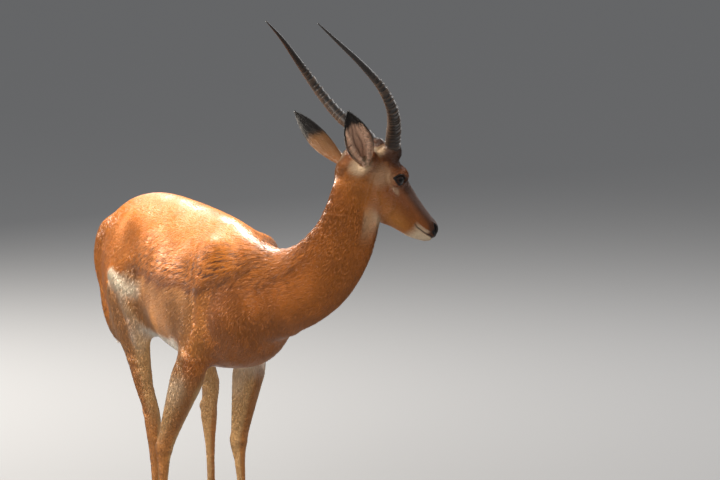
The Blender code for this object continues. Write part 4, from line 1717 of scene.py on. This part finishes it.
@dataclass
class Coat:
    """Hair over the skin: thin flat tufts that follow the lie of the coat."""

    anatomy: Anatomy
    lie: Lie
    skin: Skin
    markings: Markings
    finish: Material
    limit: int = 195_000            # triangles in one piece
    patch: float = 0.003            # size of a tuft on the unwrapped skin
    sparse: float = 150_000         # tufts on a square metre of back
    dense: float = 420_000          # and of face
    on_ears: float = 330_000
    # Of the coarsest, middling and finest hair.
    lengths: tuple[float, ...] = (0.018, 0.012, 0.006)
    widths: tuple[float, ...] = (0.0026, 0.002, 0.0013)
    tail_end: float = 0.563         # height of the brush's tip above the floor
    brush_count: int = 5200
    ear_count: int = 1100
    lash_count: int = 70
    draw: np.random.Generator = field(default_factory=lambda: np.random.default_rng(20))

    def scatter(self, obj: Object) -> tuple[Array, Array, Array, Array]:
        """Spread roots over the skin, closest where the hair is shortest.

        Args:
            obj: the hide.

        Returns:
            Roots, normals, ear places and ear numbers.
        """
        mesh = obj.data
        mesh.calc_loop_triangles()
        corners = np.empty(len(mesh.loop_triangles) * 3, np.int32)
        mesh.loop_triangles.foreach_get("vertices", corners)
        corners = corners.reshape(-1, 3)
        points, outward = coords(mesh), normals(mesh)
        a, b, c = (points[corners[:, k]] for k in range(3))
        area = np.linalg.norm(np.cross(b - a, c - a), axis=1) / 2
        middle = (a + b + c) / 3
        ear = self.skin.which_ear[corners[:, 0]] != 0
        dense = np.interp(self.fineness(middle), [0, 1], [self.sparse, self.dense])
        dense[ear] = self.on_ears
        dense *= np.where(self.anatomy.on_tail(self.anatomy.to_body(middle)), 0.1, 1)
        expect = area * dense
        count = np.floor(expect + self.draw.uniform(size=len(expect))).astype(int)
        which = np.repeat(np.arange(len(count)), count)
        u, v = self.draw.uniform(size=(2, len(which)))
        over = u + v > 1
        u[over], v[over] = 1 - u[over], 1 - v[over]
        share = np.column_stack([1 - u - v, u, v])
        picked = corners[which]

        def at(values: Array) -> Array:
            """Values at the roots, mixed from the corners of their triangles."""
            return np.einsum("ij,ijk->ik", share, values[picked])

        return at(points), unit(at(outward)), at(self.skin.leaf), self.skin.which_ear[picked[:, 0]]

    def fineness(self, points: Array) -> Array:
        """How short and fine the hair is.

        Args:
            points: world places.

        Returns:
            0 where hair is longest, 1 on the face and feet.
        """
        anatomy = self.anatomy
        leg = anatomy.leg_share(points) * ramp(0.5, 0.3, anatomy.to_body(points)[:, 2]) * 0.7
        head = anatomy.head_share(points) * (0.55 + 0.45 * ramp(0.2, 0.06, anatomy.to_face(points)[:, 0]))
        return np.clip(np.maximum(leg, head) + 0.18 * anatomy.neck_share(points), 0, 1)

    def unwrap(self, root: Array, leaf: Array, ear: Array) -> Array:
        """Unroll the skin part by part into tiles of one square.

        Args:
            root: world places.
            leaf: places on the ears.
            ear: 0 off the ears, 1 on the left one, -1 on the right.

        Returns:
            Places from 0 to 1 both ways.
        """
        anatomy = self.anatomy
        body, face = anatomy.to_body(root), anatomy.to_face(root)
        turn = turn_share(body[:, 1], body[:, 2] - 0.7)
        found = np.column_stack([0.01 + 0.97 * (body[:, 0] + 0.75), 0.52 + 0.46 * turn])
        share, away = anatomy.along_neck(body)
        which, off = anatomy.nearest_limb(root)
        # Rows that a tile takes, places along it, its lower edge and height, and turns round the part.
        tiles = (
            (anatomy.neck_share(root) > 0.5, 0.01 + 0.28 * share, 0.27, 0.22,
             turn_share(away[:, 0] - away[:, 1], away[:, 0] + away[:, 1] + away[:, 2])),
            (anatomy.head_share(root) > 0.5, 0.33 + 0.95 * face[:, 0], 0.27, 0.22,
             turn_share(face[:, 1], face[:, 2] + 0.06)),
            (anatomy.leg_share(root) > 0.5, 0.01 + 0.245 * which + 0.42 * body[:, 2], 0.01, 0.22,
             turn_share(off[:, 1], off[:, 0])),
            (anatomy.on_tail(body), 0.66 + 0.4 * (body[:, 2] - 0.55), 0.27, 0.2,
             turn_share(body[:, 1], body[:, 0] + 0.708)))
        for rows, along, low, high, turn in tiles:
            found[rows] = np.column_stack([along, low + high * turn])[rows]
        on = ear != 0
        tile = np.column_stack([0.8 + 0.09 * leaf[:, 0] + 0.095 * (ear > 0),
                                0.27 + 0.05 * (leaf[:, 1] + 1) + 0.11 * (leaf[:, 2] > 0.5)])
        found[on] = tile[on]
        return np.clip(found, 0.002, 0.998)

    def dress(self, obj: Object) -> Tufts:
        """Give each root its hair: lie, length, width, lift and colour.

        Args:
            obj: the hide.

        Returns:
            The short coat.
        """
        root, outward, leaf, ear = self.scatter(obj)
        keep = self.clear_of_openings(root, leaf, ear)
        root, outward, leaf, ear = root[keep], outward[keep], leaf[keep], ear[keep]
        count = len(root)
        body = self.anatomy.to_body(root)
        way = self.lie.at(root, outward)
        for name, side in SIDES.items():
            mine = ear == side
            lean = self.skin.ears[name].lean
            way[mine] = unit(lean - outward[mine] * (outward[mine] @ lean)[:, None])
        fine = self.fineness(root)
        fine[ear != 0] = 0.8
        ruffled = self.ruffled(body, root) * (ear == 0)
        length = np.interp(fine, [0, 0.5, 1], self.lengths) * self.draw.uniform(0.75, 1.2, count)
        length *= 1 + 0.35 * ruffled
        width = np.interp(fine, [0, 0.5, 1], self.widths) * self.draw.uniform(0.8, 1.2, count)
        rise = np.interp(fine, [0, 1], [0.0026, 0.0008])
        lift = rise * self.draw.uniform(0.45, 1.05, count)
        tilt = self.draw.normal(0, 1, count) * np.interp(fine, [0, 1], [0.09, 0.07])
        sway = 0.2 * waves(body, 0.1, 31) + 0.16 * ruffled * waves(body, 0.028, 32)
        side = np.cross(outward, way)
        way = unit(way + side * (tilt + sway)[:, None])
        lift = lift * (1 + 0.6 * ruffled - 0.9 * ruffled * self.markings.ripples(body))
        shade = self.skin.with_ears(self.markings.at(root, outward), leaf, ear, self.markings.pelage)
        tone = 1 + self.draw.normal(0, 1, count) * (0.055 + 0.05 * ruffled) + 0.05 * waves(body, 0.02, 41)
        shade = shade * np.clip(tone, 0.6, 1.35)[:, None]
        tufts = Tufts(root - outward * 0.0006, outward, way, length, width, lift, shade,
                      self.unwrap(root, leaf, ear))
        self.gather_locks(tufts, ruffled)
        return tufts

    def ruffled(self, body: Array, root: Array) -> Array:
        """Where the coat breaks into ripples: mid flank, shoulder and nape.

        Args:
            body: places in body coordinates.
            root: the same places in world coordinates.

        Returns:
            0 where it lies flat, 1 where it is most ruffled.
        """
        x, _, z = body.T
        side = bump_at(z, 0.755, 0.06) * ramp(-0.44, -0.34, x) * ramp(0.16, 0.08, x)
        neck = self.anatomy.neck_share(root)
        share, away = self.anatomy.along_neck(body)
        nape = neck * ramp(0.92, 0.7, share) * ramp(-0.2, 0.5, self.anatomy.nape_side(away))
        return np.clip(side + 0.9 * nape, 0, 1) * (0.7 + 0.3 * waves(body, 0.09, 33))

    def clear_of_openings(self, root: Array, leaf: Array, ear: Array) -> Array:
        """Leave out roots on the eyes, nostrils, nose, lips, hooves and joints of the ears.

        Args:
            root: world places.
            leaf: places on the ears.
            ear: 0 off the ears.

        Returns:
            True where hair grows.
        """
        anatomy, face = self.anatomy, self.anatomy.to_face(root)
        keep = np.ones(len(root), bool)
        for mirror in SIDES.values():
            far, measure, _ = self.skin.head.opening(face, mirror)
            keep &= ~((measure < 1.8) & (far < 0.03))
            keep &= self.skin.head.nostril(face, mirror) > 2.2
        x, y, z = face.T
        keep &= ~((x < 0.008) & (z > -0.034) & (np.abs(y) < 0.03))
        lips, _ = along_line(face[:, [0, 2]], Head.MOUTH)
        keep &= ~((anatomy.head_share(root) > 0.5) & (lips < 0.0009) & (x < 0.052))
        keep &= anatomy.to_body(root)[:, 2] > 0.04
        thin = self.draw.uniform(size=len(root)) < 0.35
        return keep & ~((ear != 0) & (leaf[:, 2] > 0.5) & (leaf[:, 0] < 0.8) & ~thin)

    def gather_locks(self, tufts: Tufts, ruffled: Array) -> None:
        """Draw the tips of ruffled hair together into locks.

        Args:
            tufts: the short coat, changed in place.
            ruffled: how ruffled each tuft is.
        """
        rows = np.flatnonzero(ruffled > 0.12)
        leaders = rows[self.draw.uniform(size=len(rows)) < 0.05]
        tree = KDTree(len(leaders))
        for i, row in enumerate(leaders):
            tree.insert(tufts.root[row] + tufts.lie[row] * 0.012, i)
        tree.balance()
        found = np.array([tree.find(spot)[1] for spot in tufts.root[rows]])
        lead = leaders[found]
        height = self.draw.uniform(0.7, 1.5, len(tufts.root))
        bright = self.draw.uniform(0.72, 1.22, len(tufts.root))
        goal = tufts.root[lead] + tufts.lie[lead] * (tufts.length[lead] * 1.25)[:, None]
        pull = goal - tufts.root[rows]
        pull -= tufts.outward[rows] * np.sum(pull * tufts.outward[rows], axis=1, keepdims=True)
        share = 0.5 * ruffled[rows][:, None]
        tufts.lie[rows] = unit(tufts.lie[rows] * (1 - share) + unit(pull) * share)
        tufts.lift[rows] *= 1 + (height[lead] - 1) * ruffled[rows]
        tufts.shade[rows] *= (1 + (bright[lead] - 1) * ruffled[rows] * 0.8)[:, None]

    def tail_brush(self) -> Tufts:
        """Long hair of the tail, hanging from its dock.

        Returns:
            The tufts.
        """
        count = self.brush_count
        share = self.draw.uniform(0.1, 1, count) ** 0.8
        line = spline(self.skin.tail_line, 80)
        middle = line[(share * 79).astype(int)]
        turn = self.draw.uniform(0, math.tau, count)
        outward = unit(np.column_stack([np.cos(turn) * 0.75, np.sin(turn), np.zeros(count)]))
        root = middle + outward * 0.006
        length = (0.04 + 0.055 * share) * self.draw.uniform(0.7, 1.1, count)
        way = np.column_stack([0.02 * self.draw.normal(size=count),
                               0.1 * np.sin(turn) + 0.05 * self.draw.normal(size=count), -np.ones(count)])
        room = middle[:, 2] - self.tail_end
        length = np.where(middle[:, 2] - length < self.tail_end, np.maximum(room, 0.01), length)
        lift = 0.0035 + 0.008 * np.abs(np.sin(turn)) * self.draw.uniform(0.3, 1, count)
        look = self.markings.pelage
        dark = ramp(0.35, 0.6, -outward[:, 0]) * ramp(0.55, 0.35, np.abs(np.sin(turn)))
        shade = blend(plain(look.white, count), (look.black, dark))
        shade *= self.draw.uniform(0.82, 1.05, count)[:, None]
        root = root + self.anatomy.floor_below_withers
        spot = self.unwrap(root, np.zeros((count, 3)), np.zeros(count, int))
        return Tufts(root, outward, unit(way), length, np.full(count, 0.0022), lift, shade, spot)

    def ear_hair(self) -> Tufts:
        """Long pale hair that fringes the ears' openings.

        Returns:
            The tufts.
        """
        parts = []
        look = self.markings.pelage
        for name, side in SIDES.items():
            ear = self.skin.ears[name]
            count = self.ear_count
            share = self.draw.uniform(0.1, 0.8, count)
            spread = self.draw.choice([-1, 1], count) * self.draw.uniform(0.55, 0.97, count)
            root = ear.surface(share, spread)
            middle = ear.surface(share, spread * 0)
            inward = unit(middle + ear.opens * 0.03 - root)
            way = unit(inward * 0.75 + ear.lean * 0.9 + ear.opens * 0.1)
            outward = unit(ear.opens + 0.3 * self.draw.normal(size=(count, 3)))
            outward = unit(outward - way * np.sum(outward * way, axis=1, keepdims=True))
            length = self.draw.uniform(0.008, 0.026, count) * ramp(0.9, 0.6, share)
            shade = plain(look.ear_inside, count) * self.draw.uniform(0.75, 1.45, count)[:, None]
            leaf = np.column_stack([share, spread, np.ones(count)])
            spot = self.unwrap(root, leaf, np.full(count, side))
            parts.append(Tufts(root + inward * 0.0022, outward, way, np.maximum(length, 0.004),
                               np.full(count, 0.0012), np.full(count, 0.001), shade, spot))
        return join(parts)

    def lashes(self) -> Tufts:
        """Dark lashes of the upper lids.

        Returns:
            The tufts.
        """
        parts = []
        for mirror in SIDES.values():
            centre, gaze, corner, upper = self.skin.head.eye_axes(mirror)
            count = self.lash_count
            wide = np.linspace(-0.8, 0.85, count)
            radius = self.anatomy.eye_radius
            high = Head.UPPER * (1 - np.abs(wide) ** 1.8) ** 0.5 / radius + 0.03
            turn = wide * Head.LENGTH / radius
            ray = unit(gaze + np.tan(turn)[:, None] * corner + np.tan(high)[:, None] * upper)
            root = centre + ray * (radius + 0.0012)
            way = unit(ray + upper * 0.35 + corner * 0.5 * wide[:, None] - corner * 0.25
                       + 0.08 * self.draw.normal(size=(count, 3)))
            turned = self.anatomy.turn().T
            root, way = self.anatomy.from_face(root), way @ turned
            outward = unit(np.cross(way, corner @ turned))
            shade = plain(self.markings.pelage.black, count)
            spot = self.unwrap(root, np.zeros((count, 3)), np.zeros(count, int))
            parts.append(Tufts(root, outward, way, self.draw.uniform(0.006, 0.0095, count),
                               np.full(count, 0.0009), np.full(count, -0.002), shade, spot))
        return join(parts)

    def build_piece(self, name: str, tufts: Tufts, form: Form) -> None:
        """Make one mesh of many tufts, from arrays.

        Args:
            name: the piece's name.
            tufts: the tufts.
            form: their shape.
        """
        root, tone, count = tufts.root, tufts.shade, len(tufts.root)
        side = np.cross(tufts.outward, tufts.lie) * (tufts.width / 2)[:, None]
        top = tufts.outward * (tufts.width * 0.3)[:, None]
        tip = root + tufts.lie * tufts.length[:, None] + tufts.outward * tufts.lift[:, None]
        base = [root + side, root - side, root + top]
        if form is Form.BLADE:
            verts = [*base, tip]
            # Painted shade: each tuft darker at its root, where the tufts shade one another, and lighter at
            # its tip.
            shades = [tone * 0.8, tone * 0.8, tone * 0.88, tone * 1.1]
            flat = [(0.5, 0), (-0.5, 0), (0, 0.1), (0, 1)]
            faces = [(0, 2, 3), (1, 3, 2), (0, 3, 1), (0, 1, 2)]
        else:
            middle = (root + tufts.lie * (tufts.length * 0.5)[:, None]
                      + tufts.outward * (tufts.lift * 0.85)[:, None])
            verts = [*base, middle + side * 0.85, middle - side * 0.85, middle + top * 0.9, tip]
            # The same painted shade: darker at the root, lighter at the tip.
            shades = [tone * 0.75, tone * 0.75, tone * 0.8, tone, tone, tone * 1.02, tone * 1.1]
            flat = [(0.5, 0), (-0.5, 0), (0, 0), (0.4, 0.5), (-0.4, 0.5), (0, 0.5), (0, 1)]
            faces = [(0, 2, 5, 3), (1, 4, 5, 2), (0, 3, 4, 1), (3, 5, 6), (4, 6, 5), (3, 6, 4), (0, 1, 2)]
        each = len(verts)
        sizes = np.array([len(face) for face in faces])
        pattern = np.concatenate([np.array(face) for face in faces])
        start = np.arange(count) * each
        loops = (start[:, None] + pattern[None]).ravel()
        begins = np.concatenate([[0], np.cumsum(np.tile(sizes, count))[:-1]])
        mesh = bpy.data.meshes.new(name)
        mesh.vertices.add(count * each)
        mesh.loops.add(len(loops))
        mesh.polygons.add(count * len(faces))
        mesh.vertices.foreach_set("co", np.stack(verts, axis=1).astype(np.float32).ravel())
        mesh.loops.foreach_set("vertex_index", loops.astype(np.int32))
        mesh.polygons.foreach_set("loop_start", begins.astype(np.int32))
        mesh.update(calc_edges=True)
        mesh.validate()
        paint(mesh, np.stack(shades, axis=1).reshape(-1, 3))
        local = (np.array(flat) - [0, 0.5]) * self.patch
        places = (tufts.spot[:, None, :] + local[None]).reshape(-1, 2)
        layer = mesh.uv_layers.new(name="OFBake")
        layer.data.foreach_set("uv", places[loops].astype(np.float32).ravel())
        mesh.shade_smooth()
        mesh.materials.append(self.finish)
        obj = new_object(name, mesh)
        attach(obj, "root")

    def build(self, obj: Object) -> None:
        """Make the whole coat in pieces under the triangle limit.

        Args:
            obj: the hide.
        """
        short = self.dress(obj)
        order = np.argsort(self.anatomy.to_body(short.root)[:, 0])
        pieces = math.ceil(len(order) / (self.limit // Form.BLADE.value))
        for i, rows in enumerate(np.array_split(order, pieces)):
            self.build_piece(f"coat_{i + 1}", short.part(rows), Form.BLADE)
        self.build_piece("tail_brush", self.tail_brush(), Form.BENT)
        self.build_piece("ear_fringe", self.ear_hair(), Form.BENT)
        self.build_piece("eyelashes", self.lashes(), Form.BENT)
        LOG.info("coat: %d short tufts in %d pieces", len(order), pieces)


def join(parts: Sequence[Tufts]) -> Tufts:
    """Put several groups of tufts together."""
    names = Tufts.__dataclass_fields__
    return Tufts(*(np.concatenate([getattr(part, name) for part in parts]) for name in names))


# ---- studio
@dataclass
class Studio:
    """Pale floor, soft lights and the camera."""

    anatomy: Anatomy
    azimuth: float = math.radians(64)
    elevation: float = math.radians(8)
    distance: float = 9.0
    lens: float = 189.0
    withers_height: float = 0.875
    aim_right: float = 0.2857
    aim_down: float = 0.0452

    def floor(self) -> None:
        """Lay the floor."""
        bm = bmesh.new()
        bmesh.ops.create_grid(bm, x_segments=2, y_segments=2, size=45)
        obj = finish_mesh("studio_floor", bm)
        made, _, _ = blank("matt_pale_floor", {"Base Color": (*linear("8B8C8E"), 1), "Roughness": 1,
                                               "Specular IOR Level": 0})
        obj.data.materials.append(made)

    def camera(self) -> None:
        """Set the camera level, before the animal's right shoulder."""
        side = Vector((math.cos(self.azimuth), math.sin(self.azimuth), 0))
        look = Vector((math.sin(self.azimuth) * math.cos(self.elevation),
                       -math.cos(self.azimuth) * math.cos(self.elevation), math.sin(self.elevation)))
        up = look.cross(side)
        aim = Vector(self.anatomy.floor_below_withers) + Vector((0, 0, self.withers_height))
        aim = aim + side * self.aim_right - up * self.aim_down
        data = bpy.data.cameras.new("camera")
        data.lens, data.sensor_width = self.lens, 36
        data.clip_end = 200
        obj = new_object("camera", data)
        obj.matrix_world = Matrix.Translation(aim + look * self.distance) @ Matrix(
            (side, up, look)).transposed().to_4x4()
        bpy.context.scene.camera = obj

    def light(self, name: str, spot: Sequence[float], power: float, size: float, colour: str) -> None:
        """Hang one soft square light that faces the animal.

        Args:
            name: the light's name.
            spot: its place.
            power: watts.
            size: metres across.
            colour: sRGB hex.
        """
        data = bpy.data.lights.new(name, "AREA")
        data.energy, data.size, data.color = power, size, linear(colour)
        obj = new_object(name, data)
        obj.location = spot
        aim = Vector((0.1, -0.1, 0.8))
        obj.rotation_euler = (aim - obj.location).to_track_quat("-Z", "Y").to_euler()

    def build(self) -> None:
        """Set up floor, lights, surroundings and camera."""
        self.floor()
        self.camera()
        self.light("key", (-3.8, -0.9, 3.1), 400, 0.8, "FFF8EE")
        self.light("side", (-1.5, -3.4, 3), 170, 2, "FFF4E4")
        self.light("fill", (3, -3.9, 2.7), 100, 2, "FFFAF4")
        self.light("back", (-1, 4, 3.2), 100, 2.5, "FFFFFF")
        world = bpy.data.worlds.new("studio")
        world.use_nodes = True
        shade = world.node_tree.nodes["Background"]
        shade.inputs[0].default_value = (*linear("F4F4F4"), 1)
        shade.inputs[1].default_value = 0.55
        bpy.context.scene.world = world
        bpy.context.scene.view_settings.view_transform = "Standard"


def main() -> None:
    """Build the animal piece by piece and report each."""
    logging.basicConfig(level=logging.INFO)
    anatomy = Anatomy()
    Studio(anatomy).build()
    LOG.info("studio")
    head = Head(anatomy)
    markings = Markings(anatomy, Pelage())
    skin = Skin(anatomy, head, FRAME["nodes"])
    hide = skin.build(markings, Hide().make())
    LOG.info("hide: %d vertices", len(hide.data.vertices))
    Eyes().build(head, WetEye())
    Horns().build(anatomy, Horn())
    Hooves().build(Claw().make())
    LOG.info("eyes, horns and hooves")
    Coat(anatomy, Lie(anatomy), skin, markings, Hair().make()).build(hide)


if __name__ == "__main__":
    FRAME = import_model()
    main()
